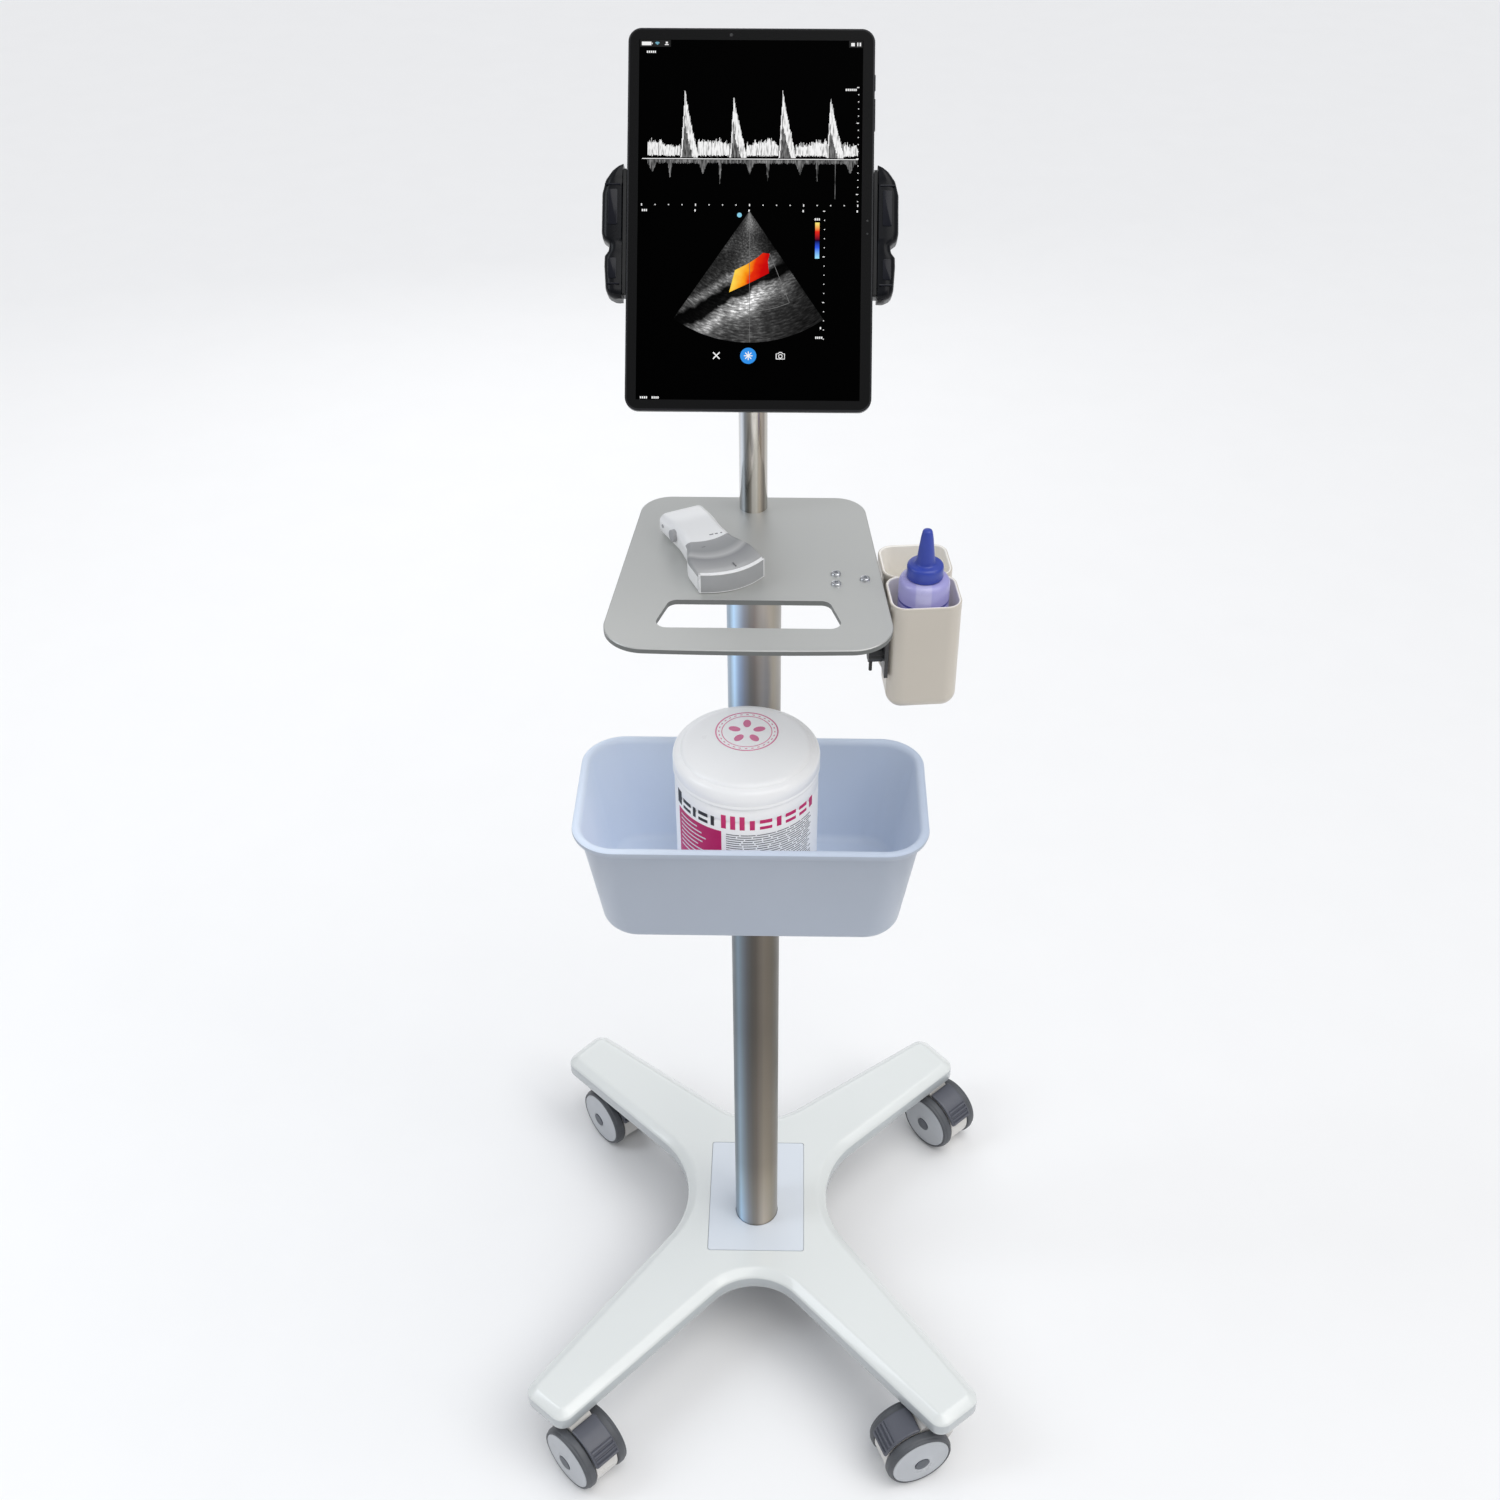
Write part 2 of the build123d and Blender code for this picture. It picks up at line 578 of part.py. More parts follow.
LENS_DEPTH = 3.2
HEAD_BULGE = 8.0
BUTTON_Y = -26.0
BUTTON_Z = 12.0


def probe_plan(front):
    """Plan of the probe up to a front line that bulges like its curved array."""
    side = [(PROBE_REAR_HALF, -3), (PROBE_REAR_HALF - 1, -46), (PROBE_HEAD_HALF - 1, -76), (PROBE_HEAD_HALF, front)]
    right = Spline(*side, tangents=[(0, -1), (0, -1)])
    left = mirror(right, Plane.YZ)
    rear = Polyline((PROBE_REAR_HALF, -3), (PROBE_REAR_HALF - 4, 0), (4 - PROBE_REAR_HALF, 0), (-PROBE_REAR_HALF, -3))
    arc = ThreePointArc((PROBE_HEAD_HALF, front), (0, front - HEAD_BULGE), (-PROBE_HEAD_HALF, front))
    return make_face(right + left + rear + arc)


def make_probe_housing():
    front = -PROBE_LENGTH + HEAD_BULGE + LENS_DEPTH
    body = plate(probe_plan(front), 0.0, PROBE_THICKNESS)
    body = fillet(body.edges().group_by(Axis.Z)[-1], 2.4)
    body -= Pos(0, -4, 4) * Box(26, 70, 14, align=(Align.CENTER, Align.MAX, Align.MIN))
    body -= rod_x(5.2, -40, -PROBE_REAR_HALF + 3, BUTTON_Y, BUTTON_Z)
    return on_tray(body)


def make_probe_lens():
    """Curved face of the array, in front of the housing's nose."""
    front = -PROBE_LENGTH + HEAD_BULGE
    x = PROBE_HEAD_HALF - 0.6
    outer = ThreePointArc((x, front), (0, front - HEAD_BULGE), (-x, front))
    inner = ThreePointArc((-x, front + LENS_DEPTH), (0, front + LENS_DEPTH - HEAD_BULGE), (x, front + LENS_DEPTH))
    sides = [Line((x, front), (x, front + LENS_DEPTH)), Line((-x, front), (-x, front + LENS_DEPTH))]
    face = make_face([outer, inner] + sides)
    lens = plate(face, 0.8, PROBE_THICKNESS - 1.2)
    body = plate(probe_plan(front + LENS_DEPTH), -1, PROBE_THICKNESS + 1)
    return on_tray(lens - body)


def make_probe_button():
    button = rod_x(4.8, -PROBE_REAR_HALF - 1.4, -PROBE_REAR_HALF + 2.2, BUTTON_Y, BUTTON_Z)
    return on_tray(fillet(button.faces().sort_by(Axis.X)[0].edges(), 0.9))


# ---- casters ----
AXLE_Z = WHEEL_RADIUS
STEM_BOTTOM = 56.0
HOUSING_TOP = 78.4
AXLE_HEAD = 7.5
SLOT_HALF = 4.0
WEB_HALF = 3.5
BOSS = 9.0


def on_axle(sketch):
    """Moves a sketch drawn about the wheel's centre to the axle."""
    return Pos(TRAIL, AXLE_Z) * sketch


def sector(radius, low, high):
    """Wedge about the origin between two angles, in degrees from the trailing direction."""
    middle = (low + high) / 2
    points = [(0, 0)] + [(2 * radius * cos(radians(a)), 2 * radius * sin(radians(a))) for a in (low, middle, high)]
    return outline(points) & Circle(radius)


def place_caster(shape, corner):
    x, y = STEMS[corner]
    return Pos(x, y, 0) * Rot(0, 0, REST_ANGLES[corner]) * shape


def caster_housing():
    hood = on_axle(Circle(HOUSING_RADIUS))
    neck = outline([(-14, 55), (-14, HOUSING_TOP), (20, HOUSING_TOP), (30, 69.5), (TRAIL, AXLE_Z), (7, 20)])
    body = side_plate(hood + neck, HOUSING_HALF)
    body = fillet(body.edges().filter_by(Axis.Z).group_by(Axis.X)[0], 9)
    body -= block((-20, -20, 0), (100, 20, 6))
    body -= rod(STEM_RADIUS + RUNNING, STEM_BOTTOM - 0.4, HOUSING_TOP + 1)
    slot = on_axle(sector(HOUSING_RADIUS + 8, 20, 80) + Circle(BOSS + 0.5))
    body -= side_plate(slot, SLOT_HALF)
    return body - rod_y(AXLE_RADIUS, -20, 20, TRAIL, AXLE_Z)


def caster_pedal():
    band = on_axle(sector(PEDAL_OUTER, *PEDAL_ARC) - Circle(PEDAL_INNER))
    pad = side_plate(band, PEDAL_HALF)
    for step in range(4):
        angle = PEDAL_ARC[0] + 3 + 7 * step
        rib = on_axle(sector(PEDAL_OUTER + 0.8, angle, angle + 3) - Circle(PEDAL_OUTER - 0.5))
        pad += side_plate(rib, PEDAL_HALF - 1.8)
    web = side_plate(on_axle(sector(PEDAL_INNER + 0.5, 34, 78) + Circle(BOSS)), WEB_HALF)
    return (pad + web) - rod_y(AXLE_RADIUS + RUNNING, -20, 20, TRAIL, AXLE_Z)


def caster_axle():
    axle = rod_y(AXLE_RADIUS, 0.5 - HUB_FACE, HUB_FACE - 0.5, TRAIL, AXLE_Z)
    for side in (-1, 1):
        near, far = sorted((side * (HUB_FACE - 1.1), side * (HUB_FACE + 0.4)))
        axle += rod_y(AXLE_HEAD, near, far, TRAIL, AXLE_Z)
    return axle


def wheel_band(radius, inner, outer):
    """Ring-shaped stretch of a wheel on the +Y side, between two distances from the caster's middle."""
    return rod_y(radius, inner, outer, TRAIL, AXLE_Z)


def caster_hubs():
    hub = wheel_band(RIM_RADIUS, WHEEL_INNER + 0.6, WHEEL_OUTER - 2)
    disc = wheel_band(DISC_RADIUS, WHEEL_OUTER - 2.2, WHEEL_OUTER)
    disc = chamfer(disc.faces().sort_by(Axis.Y)[-1].edges(), 0.6)
    crown = Cone(DISC_RADIUS - 2.5, 10, HUB_FACE - WHEEL_OUTER)
    disc += Pos(TRAIL, (WHEEL_OUTER + HUB_FACE) / 2, AXLE_Z) * Rot(-90, 0, 0) * crown
    hub = hub + disc - wheel_band(AXLE_HEAD + 0.5, HUB_FACE - 1.5, HUB_FACE + 1)
    hub -= wheel_band(AXLE_RADIUS + RUNNING, 0, HUB_FACE + 1)
    return group([hub, mirror(hub, Plane.XZ)])


def caster_tyres():
    tyre = wheel_band(WHEEL_RADIUS, WHEEL_INNER, WHEEL_OUTER)
    tyre = fillet(tyre.faces().sort_by(Axis.Y)[-1].edges(), 2.5)
    tyre = fillet(tyre.faces().sort_by(Axis.Y)[0].edges(), 2.0)
    tyre -= wheel_band(RIM_RADIUS, 0, WHEEL_OUTER + 1)
    tyre -= wheel_band(DISC_RADIUS, WHEEL_OUTER - 2.2, WHEEL_OUTER + 1)
    return group([tyre, mirror(tyre, Plane.XZ)])


# ---- tablet ----
def leaned(shape):
    """Leans a shape drawn upright about the tilt hinge back to its rest tilt."""
    return Pos(0, HINGE_Y, HINGE_Z) * Rot(-TILT, 0, 0) * shape


def upright_plate(width, height, corner, front, back, x=0.0, z=0.0):
    """Rounded rectangle that faces -Y, between two Y values."""
    sketch = Pos(x, z) * RectangleRounded(width, height, corner)
    return Pos(0, back, 0) * Rot(90, 0, 0) * extrude(sketch, back - front)


TABLET_BACK = GLASS_Y + TABLET_THICKNESS
GLASS_THICKNESS = 0.8
POWER_KEY = (88.0, 98.0)
VOLUME_KEY = (61.0, 82.0)
KEY_HALF = 1.2
KEY_PROUD = 0.6
KEY_Y = GLASS_Y + TABLET_THICKNESS / 2


def tablet_key(low, high, grow=0.0):
    """Rocker in the tablet's right edge between two heights."""
    x = TABLET_WIDTH / 2
    depth = KEY_HALF + grow
    return block((x - 1.6 - 2.5 * grow, KEY_Y - depth, low - grow), (x + KEY_PROUD, KEY_Y + depth, high + grow))


def make_tablet_housing():
    shell = upright_plate(TABLET_WIDTH, TABLET_HEIGHT, TABLET_CORNER, GLASS_Y, TABLET_BACK)
    shell = fillet(shell.edges().group_by(Axis.Y)[-1], 2.2)
    shell = fillet(shell.edges().group_by(Axis.Y)[0], 0.6)
    glass_seat = upright_plate(TABLET_WIDTH - 2.4, TABLET_HEIGHT - 2.4, TABLET_CORNER - 1.2, GLASS_Y - 1, GLASS_Y + GLASS_THICKNESS)
    inside = upright_plate(TABLET_WIDTH - 8, TABLET_HEIGHT - 8, TABLET_CORNER - 4, GLASS_Y, TABLET_BACK - 1)
    shell = shell - glass_seat - inside
    return leaned(shell - tablet_key(*POWER_KEY, CLEAR) - tablet_key(*VOLUME_KEY, CLEAR))


def make_tablet_glass():
    return leaned(upright_plate(TABLET_WIDTH - 2.4, TABLET_HEIGHT - 2.4, TABLET_CORNER - 1.2, GLASS_Y, GLASS_Y + GLASS_THICKNESS))


def make_tablet_battery():
    low = GLASS_Y + GLASS_THICKNESS + 0.6
    return leaned(block((-66, low, -104), (66, TABLET_BACK - 1, 40)))


# ---- holder ----
ARM_LEVELS = (20.0, -32.0)
ARM_HALF = 7.0
ARM_FRONT = TABLET_BACK + 3.4
ARM_BACK = ARM_FRONT + 5.0
PLATE_FRONT_Y = TABLET_BACK + BACK_GAP
PLATE_BACK_Y = ARM_BACK + 3.0
PLATE_HALF = 62.0
SHAFT_RADIUS = 7.0
SHAFT_TOP_Y = -8.5
TILT_PIN_RADIUS = 4.0
BLOCK_HALF = 13.0
BLOCK_RADIUS = 12.0
CHEEK = 5.0
JAW_INNER = TABLET_WIDTH / 2
PAD = 2.5


def make_back_plate():
    """Body of the holder behind the tablet, with a channel for each jaw's arms and the turning shaft."""
    height = JAW_TOP - JAW_BOTTOM - 6
    centre = (JAW_TOP + JAW_BOTTOM) / 2
    body = upright_plate(2 * PLATE_HALF, height, 10, PLATE_FRONT_Y, PLATE_BACK_Y, 0, centre)
    body = fillet(body.edges().group_by(Axis.Y)[-1], 3.0)
    for side in (-1, 1):
        for level in ARM_LEVELS:
            near, far = sorted((side * 6.0, side * (PLATE_HALF + 1)))
            reach = ARM_HALF + CLEAR
            body -= block((near, ARM_FRONT - CLEAR, level - reach), (far, ARM_BACK + CLEAR, level + reach))
    shoulder = rod_y(20, PLATE_BACK_Y - 0.5, PLATE_BACK_Y + 3)
    neck = rod_y(SHAFT_RADIUS, PLATE_BACK_Y, SHAFT_TOP_Y)
    return leaned(body + shoulder + neck)


def jaw_profile(inset):
    """Front view of the right jaw: a tall upper lobe, a waist and a narrower lower lobe."""
    upper = JAW_OUTER - inset
    lower = JAW_OUTER - 2.4 - inset
    waist = JAW_OUTER - 5.5 - inset
    edge = Polyline((JAW_INNER - 2, JAW_BOTTOM + inset), (lower - 7, JAW_BOTTOM + inset), (lower - 2, JAW_BOTTOM + 6),
                    (lower, JAW_WAIST - 6), (waist, JAW_WAIST - 2), (waist, JAW_WAIST + 3),
                    (upper - 1, JAW_WAIST + 6), (upper, JAW_TOP - 18))
    crown = ThreePointArc((upper, JAW_TOP - 18), (upper - 4.5, JAW_TOP - 5.5), (JAW_INNER + 3, JAW_TOP - inset))
    top = Polyline((JAW_INNER + 3, JAW_TOP - inset), (JAW_INNER - 2, JAW_TOP - inset), (JAW_INNER - 2, JAW_BOTTOM + inset))
    return make_face(edge + crown + top)


JAW_FRONT = GLASS_Y - 0.5
JAW_BACK = PLATE_BACK_Y + 1.0


def right_jaw():
    body = Pos(0, JAW_BACK, 0) * Rot(90, 0, 0) * extrude(jaw_profile(0), JAW_BACK - JAW_FRONT)
    body = chamfer(body.faces().sort_by(Axis.Y)[-1].edges().filter_by(GeomType.LINE).sort_by(Axis.X)[-3:], 2.0)
    body -= block((0, JAW_FRONT - 1, JAW_BOTTOM - 1), (JAW_INNER + PAD, TABLET_BACK + BACK_GAP, JAW_TOP + 1))
    for level in ARM_LEVELS:
        body += block((24, ARM_FRONT, level - ARM_HALF), (JAW_INNER + PAD, ARM_BACK, level + ARM_HALF))
    return body


def right_pad():
    """Rubber facing between the jaw and the tablet's edge."""
    pad = block((JAW_INNER + 0.3, GLASS_Y + 0.2, JAW_BOTTOM + 3), (JAW_INNER + PAD, TABLET_BACK, JAW_TOP - 4))
    return pad


def make_tilt_block():
    """Knuckle between the clamp's cheeks: turns on the tilt pin and carries the holder's shaft."""
    knuckle = rod_x(BLOCK_RADIUS, -BLOCK_HALF, BLOCK_HALF)
    collar = rod_y(11.5, PLATE_BACK_Y + 3 + CLEAR, 0)
    body = knuckle + collar
    body -= rod_y(SHAFT_RADIUS + RUNNING, PLATE_BACK_Y, SHAFT_TOP_Y + CLEAR)
    return leaned(body - rod_x(TILT_PIN_RADIUS + RUNNING, -20, 20))


def make_tilt_pin():
    pin = rod_x(TILT_PIN_RADIUS, -BLOCK_HALF - CLEAR - CHEEK - 1, BLOCK_HALF + CLEAR + CHEEK + 1)
    for side in (-1, 1):
        near, far = sorted((side * (BLOCK_HALF + CLEAR + CHEEK), side * (BLOCK_HALF + CLEAR + CHEEK + 4)))
        pin += rod_x(7.0, near, far)
    return Pos(0, HINGE_Y, HINGE_Z) * pin


CLAMP_LOW = 1166.0
CLAMP_HIGH = 1200.0
CLAMP_RADIUS = 19.0
SCREW_Z = (CLAMP_LOW + CLAMP_HIGH) / 2


def make_pole_clamp():
    """Collar on the tube with two cheeks that carry the tilt pin."""
    collar = rod(CLAMP_RADIUS, CLAMP_LOW, CLAMP_HIGH)
    boss = rod_y(9.0, 8, 24, 0, SCREW_Z)
    inner = BLOCK_HALF + CLEAR
    web = outline([(4, CLAMP_LOW + 2), (4, CLAMP_HIGH), (HINGE_Y + 6, HINGE_Z + 9), (HINGE_Y - 8, HINGE_Z - 6), (-16, CLAMP_LOW + 2)])
    eye = Pos(HINGE_Y, HINGE_Z) * Circle(BLOCK_RADIUS)
    side = extrude(Plane.YZ.offset(inner) * (web + eye), CHEEK)
    clamp = collar + boss + side + mirror(side, Plane.YZ)
    clamp -= block((-inner, -60, HINGE_Z - 14.5), (inner, -19, HINGE_Z + 20))
    clamp -= rod(TUBE_RADIUS + RUNNING, CLAMP_LOW - 5, CLAMP_HIGH + 5)
    clamp -= rod_y(3.05, 0, 30, 0, SCREW_Z)
    return clamp - rod_x(TILT_PIN_RADIUS, -30, 30, HINGE_Y, HINGE_Z)


def make_clamp_knob():
    knob = rod_y(15.0, 24.5, 37, 0, SCREW_Z)
    for step in range(6):
        angle = radians(60 * step)
        knob -= rod_y(4.5, 24, 38, 17.5 * cos(angle), SCREW_Z + 17.5 * sin(angle))
    return knob + rod_y(3.0, TUBE_RADIUS + 0.6, 26, 0, SCREW_Z)


# ---- write one file per sub-part ----
def all_nodes():
    jaw = right_jaw()
    pad = right_pad()
    nodes = {
        "base_frame": make_base_frame(),
        "base_cover": make_base_cover(),
        "base_center_plate": make_center_plate(),
        "base_cover_screws": make_cover_screws(),
        "column_flange": make_column_flange(),
        "flange_bolts": make_flange_bolts(),
        "caster_stems": make_caster_stems(),
        "lower_column": make_lower_column(),
        "tray_mount": make_tray_mount(),
        "upper_tube": make_upper_tube(),
        "tray": make_tray(),
        "tray_screws": make_tray_screws(),
        "bin": make_bin(),
        "bin_bracket": make_bin_bracket(),
        "bin_screws": make_bin_screws(),
        "cup_holder": make_cup_holder(),
        "cup_bracket": make_cup_bracket(),
        "cup_bracket_screws": make_cup_screws(),
        "cup_knob": make_cup_knob(),
        "wipes_tub": make_wipes_tub(),
        "wipes_tub_lid": make_wipes_lid(),
        "gel_bottle": make_gel_bottle(),
        "gel_bottle_cap": make_bottle_cap(),
        "probe_housing": make_probe_housing(),
        "probe_lens": make_probe_lens(),
        "probe_button": make_probe_button(),
        "tablet_housing": make_tablet_housing(),
        "tablet_glass": make_tablet_glass(),
        "tablet_battery": make_tablet_battery(),
        "tablet_power_key": leaned(tablet_key(*POWER_KEY)),
        "tablet_volume_key": leaned(tablet_key(*VOLUME_KEY)),
        "holder_back_plate": make_back_plate(),
        "jaw_right": leaned(jaw),
        "jaw_left": leaned(mirror(jaw, Plane.YZ)),
        "jaw_pad_right": leaned(pad),
        "jaw_pad_left": leaned(mirror(pad, Plane.YZ)),
        "tilt_block": make_tilt_block(),
        "tilt_pin": make_tilt_pin(),
        "pole_clamp": make_pole_clamp(),
        "clamp_knob": make_clamp_knob(),
    }
    caster = {
        "housing": caster_housing(),
        "axle": caster_axle(),
        "pedal": caster_pedal(),
        "hubs": caster_hubs(),
        "tyres": caster_tyres(),
    }
    for corner in STEMS:
        for name, shape in caster.items():
            nodes[f"caster_{corner}_{name}"] = place_caster(shape, corner)
    return nodes


os.makedirs("parts", exist_ok=True)
for node, shape in all_nodes().items():
    export_step(shape, f"parts/{node}.step")
print("stems", {corner: [round(v, 3) for v in place] for corner, place in STEMS.items()})
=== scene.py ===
import json
import random
from math import atan2, copysign, cos, pi, radians, sin, sqrt, tau

import bmesh
import bpy
from mathutils import Matrix, Vector
from mathutils.geometry import tessellate_polygon


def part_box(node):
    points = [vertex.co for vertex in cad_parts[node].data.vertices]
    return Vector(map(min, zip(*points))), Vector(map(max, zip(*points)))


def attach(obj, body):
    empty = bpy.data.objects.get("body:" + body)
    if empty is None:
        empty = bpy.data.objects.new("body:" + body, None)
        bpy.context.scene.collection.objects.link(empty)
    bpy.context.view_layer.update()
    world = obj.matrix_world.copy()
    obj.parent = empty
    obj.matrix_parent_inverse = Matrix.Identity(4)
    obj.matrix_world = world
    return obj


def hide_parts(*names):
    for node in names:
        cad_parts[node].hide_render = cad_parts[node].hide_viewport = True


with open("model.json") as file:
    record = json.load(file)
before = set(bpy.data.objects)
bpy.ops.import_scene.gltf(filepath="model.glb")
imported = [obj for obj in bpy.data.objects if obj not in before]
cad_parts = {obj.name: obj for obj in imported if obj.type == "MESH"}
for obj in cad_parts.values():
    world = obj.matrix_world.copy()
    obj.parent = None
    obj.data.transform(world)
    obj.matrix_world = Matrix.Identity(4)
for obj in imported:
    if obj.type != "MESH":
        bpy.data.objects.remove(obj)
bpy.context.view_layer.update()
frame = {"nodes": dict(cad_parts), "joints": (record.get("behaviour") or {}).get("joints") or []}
MM = 0.001
NODES = frame["nodes"]
JOINTS = {joint["name"]: joint for joint in frame["joints"]}
CORNERS = ("fl", "fr", "rl", "rr")


# ---- node-based materials ----
def link(tree, source, target):
    tree.links.new(source, target)


def new_node(tree, kind, **values):
    node = tree.nodes.new(kind)
    for key, value in values.items():
        if key in node.inputs:
            node.inputs[key].default_value = value
        else:
            setattr(node, key, value)
    return node


def plug(tree, value, socket):
    """Sets a socket from a number, a colour or another node's output."""
    if isinstance(value, Number):
        link(tree, value.output, socket)
    elif hasattr(value, "is_output"):
        link(tree, value, socket)
    elif isinstance(value, (int, float)):
        socket.default_value = value
    else:
        socket.default_value = (*value[:3], 1.0)


class Number:
    """A number inside a material: arithmetic on it adds math nodes."""

    def __init__(self, tree, output):
        self.tree = tree
        self.output = output

    def math(self, operation, *values):
        node = new_node(self.tree, "ShaderNodeMath", operation=operation)
        for socket, value in zip(node.inputs, values):
            plug(self.tree, value, socket)
        return Number(self.tree, node.outputs[0])

    def __add__(self, other):
        return self.math("ADD", self, other)

    def __sub__(self, other):
        return self.math("SUBTRACT", self, other)

    def __rsub__(self, other):
        return self.math("SUBTRACT", other, self)

    def __mul__(self, other):
        return self.math("MULTIPLY", self, other)

    def __gt__(self, other):
        return self.math("GREATER_THAN", self, other)

    def __lt__(self, other):
        return self.math("LESS_THAN", self, other)

    def __abs__(self):
        return self.math("ABSOLUTE", self)


def noise(tree, scale, detail=3.0, stretch=None):
    """Noise in the piece's own coordinates, stretched along an axis when asked."""
    source = new_node(tree, "ShaderNodeTexCoord").outputs["Object"]
    texture = new_node(tree, "ShaderNodeTexNoise", Scale=scale, Detail=detail)
    if stretch:
        mapping = new_node(tree, "ShaderNodeMapping", Scale=stretch)
        link(tree, source, mapping.inputs["Vector"])
        source = mapping.outputs["Vector"]
    link(tree, source, texture.inputs["Vector"])
    return Number(tree, texture.outputs["Fac"])


def ramp(tree, factor, stops):
    """Colour ramp through (place, colour) stops, where a single number is a grey."""
    node = new_node(tree, "ShaderNodeValToRGB")
    elements = node.color_ramp.elements
    while len(elements) < len(stops):
        elements.new(0.5)
    for element, (place, colour) in zip(elements, stops):
        element.position = place
        element.color = (*colour, 1.0) if isinstance(colour, tuple) else (colour, colour, colour, 1.0)
    plug(tree, factor, node.inputs["Fac"])
    return node.outputs["Color"]


def mix(tree, factor, a, b, blend="MIX"):
    node = new_node(tree, "ShaderNodeMix", data_type="RGBA", blend_type=blend)
    for index, value in ((0, factor), (6, a), (7, b)):
        plug(tree, value, node.inputs[index])
    return node.outputs[2]


def multiply(tree, a, b):
    """Multiplies two colours."""
    return mix(tree, 1.0, a, b, "MULTIPLY")


def axes(tree, output):
    """X, Y and Z of a vector output."""
    split = new_node(tree, "ShaderNodeSeparateXYZ")
    link(tree, output, split.inputs[0])
    return [Number(tree, part) for part in split.outputs]


def object_axes(tree):
    """The piece's own X, Y and Z."""
    return axes(tree, new_node(tree, "ShaderNodeTexCoord").outputs["Object"])


def normal_axes(tree):
    """X, Y and Z of the way a face looks."""
    return axes(tree, new_node(tree, "ShaderNodeNewGeometry").outputs["Normal"])


def around(tree, stops):
    """Colour round the stand's upright axis: back -180, left -90, front 0, right 90 and back 180 degrees."""
    x, y, z = object_axes(tree)
    angle = x.math("ARCTAN2", x, y * -1.0)
    return ramp(tree, angle * (1 / tau) + 0.5, [(degrees / 360 + 0.5, colour) for degrees, colour in stops])


def shade(colour, factor):
    return tuple(min(max(c * factor, 0.0), 1.0) for c in colour)


def surface(
        name, base, rough=0.45, metal=0.0, coat=0.0, coat_rough=0.08, tint=0.05, tint_scale=9.0,
        tint_stretch=None, grain=0.1, grain_scale=1800.0, grain_stretch=None, grain_depth=0.0002,
        rough_vary=0.1, worn=None, worn_amount=0.35, specular=0.5, painted_glow=0.0, recolour=None):
    """A solid material with soft colour drift, a fine surface grain, uneven gloss and lighter worn edges,
    with an optional painted glow in its own colour.
    """
    material = bpy.data.materials.new(name)
    material.use_nodes = True
    tree = material.node_tree
    shader = tree.nodes["Principled BSDF"]
    constants = {
        "Metallic": metal, "Coat Weight": coat, "Coat Roughness": coat_rough, "Specular IOR Level": specular,
        "Emission Strength": painted_glow}
    for key, value in constants.items():
        shader.inputs[key].default_value = value
    drift = noise(tree, tint_scale, 4.0, tint_stretch)
    colour = ramp(tree, drift, [(0.3, shade(base, 1 - tint)), (0.7, shade(base, 1 + tint))])
    if recolour:
        colour = recolour(tree, colour)
    if worn:
        geometry = new_node(tree, "ShaderNodeNewGeometry")
        edge = ramp(tree, geometry.outputs["Pointiness"], [(0.53, 0), (0.62, 1)])
        colour = mix(tree, Number(tree, edge) * noise(tree, 120.0) * worn_amount, colour, worn)
    link(tree, colour, shader.inputs["Base Color"])
    # Painted light: the part glows in its own colour though it is no lamp.
    if painted_glow:
        link(tree, colour, shader.inputs["Emission Color"])
    spread = new_node(tree, "ShaderNodeMapRange")
    for index, value in enumerate((0.3, 0.7, max(rough - rough_vary, 0.02), min(rough + rough_vary, 1.0)), 1):
        spread.inputs[index].default_value = value
    plug(tree, noise(tree, 25.0, 5.0), spread.inputs[0])
    link(tree, spread.outputs[0], shader.inputs["Roughness"])
    bump = new_node(tree, "ShaderNodeBump", Strength=grain, Distance=grain_depth)
    plug(tree, noise(tree, grain_scale, 2.0, grain_stretch), bump.inputs["Height"])
    link(tree, bump.outputs["Normal"], shader.inputs["Normal"])
    return material


def glow(name, colour, recolour=None):
    """Self-lit picture element of the screen."""
    material = bpy.data.materials.new(name)
    material.use_nodes = True
    tree = material.node_tree
    shader = tree.nodes["Principled BSDF"]
    shader.inputs["Base Color"].default_value = (0.0, 0.0, 0.0, 1.0)
    shader.inputs["Roughness"].default_value = 0.3
    shader.inputs["Specular IOR Level"].default_value = 0.01
    shader.inputs["Emission Strength"].default_value = 1.0
    flicker = ramp(tree, noise(tree, 2500.0, 1.0), [(0.35, shade(colour, 0.93)), (0.65, colour)])
    if recolour:
        flicker = recolour(tree, flicker)
    link(tree, flicker, shader.inputs["Emission Color"])
    return material


# ---- mesh helpers, in millimetres in a piece's own frame ----
def piece(name, vertices, faces, material, body, slot, replaces=(), matrix=None, smooth=35.0, indices=None):
    """Smooth-shaded piece that rides on a CAD body; indices pick from several materials by face."""
    mesh = bpy.data.meshes.new(name)
    mesh.from_pydata([Vector(v) * MM for v in vertices], [], faces)
    bm = bmesh.new()
    bm.from_mesh(mesh)
    bmesh.ops.remove_doubles(bm, verts=bm.verts, dist=1e-6)
    bmesh.ops.recalc_face_normals(bm, faces=bm.faces)
    bm.to_mesh(mesh)
    bm.free()
    for item in material if indices else [material]:
        mesh.materials.append(item)
    if indices:
        mesh.polygons.foreach_set("material_index", indices)
    mesh.polygons.foreach_set("use_smooth", [True] * len(mesh.polygons))
    mesh.set_sharp_from_angle(angle=radians(smooth))
    obj = add_object(name, mesh)
    if matrix is not None:
        obj.matrix_world = matrix
    if replaces:
        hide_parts(*replaces)
    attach(obj, body)
    return obj


def joined(*parts):
    """Joins (vertices, faces) pairs into one."""
    vertices, faces = [], []
    for more_vertices, more_faces in parts:
        base = len(vertices)
        vertices += more_vertices
        faces += [[base + i for i in face] for face in more_faces]
    return vertices, faces


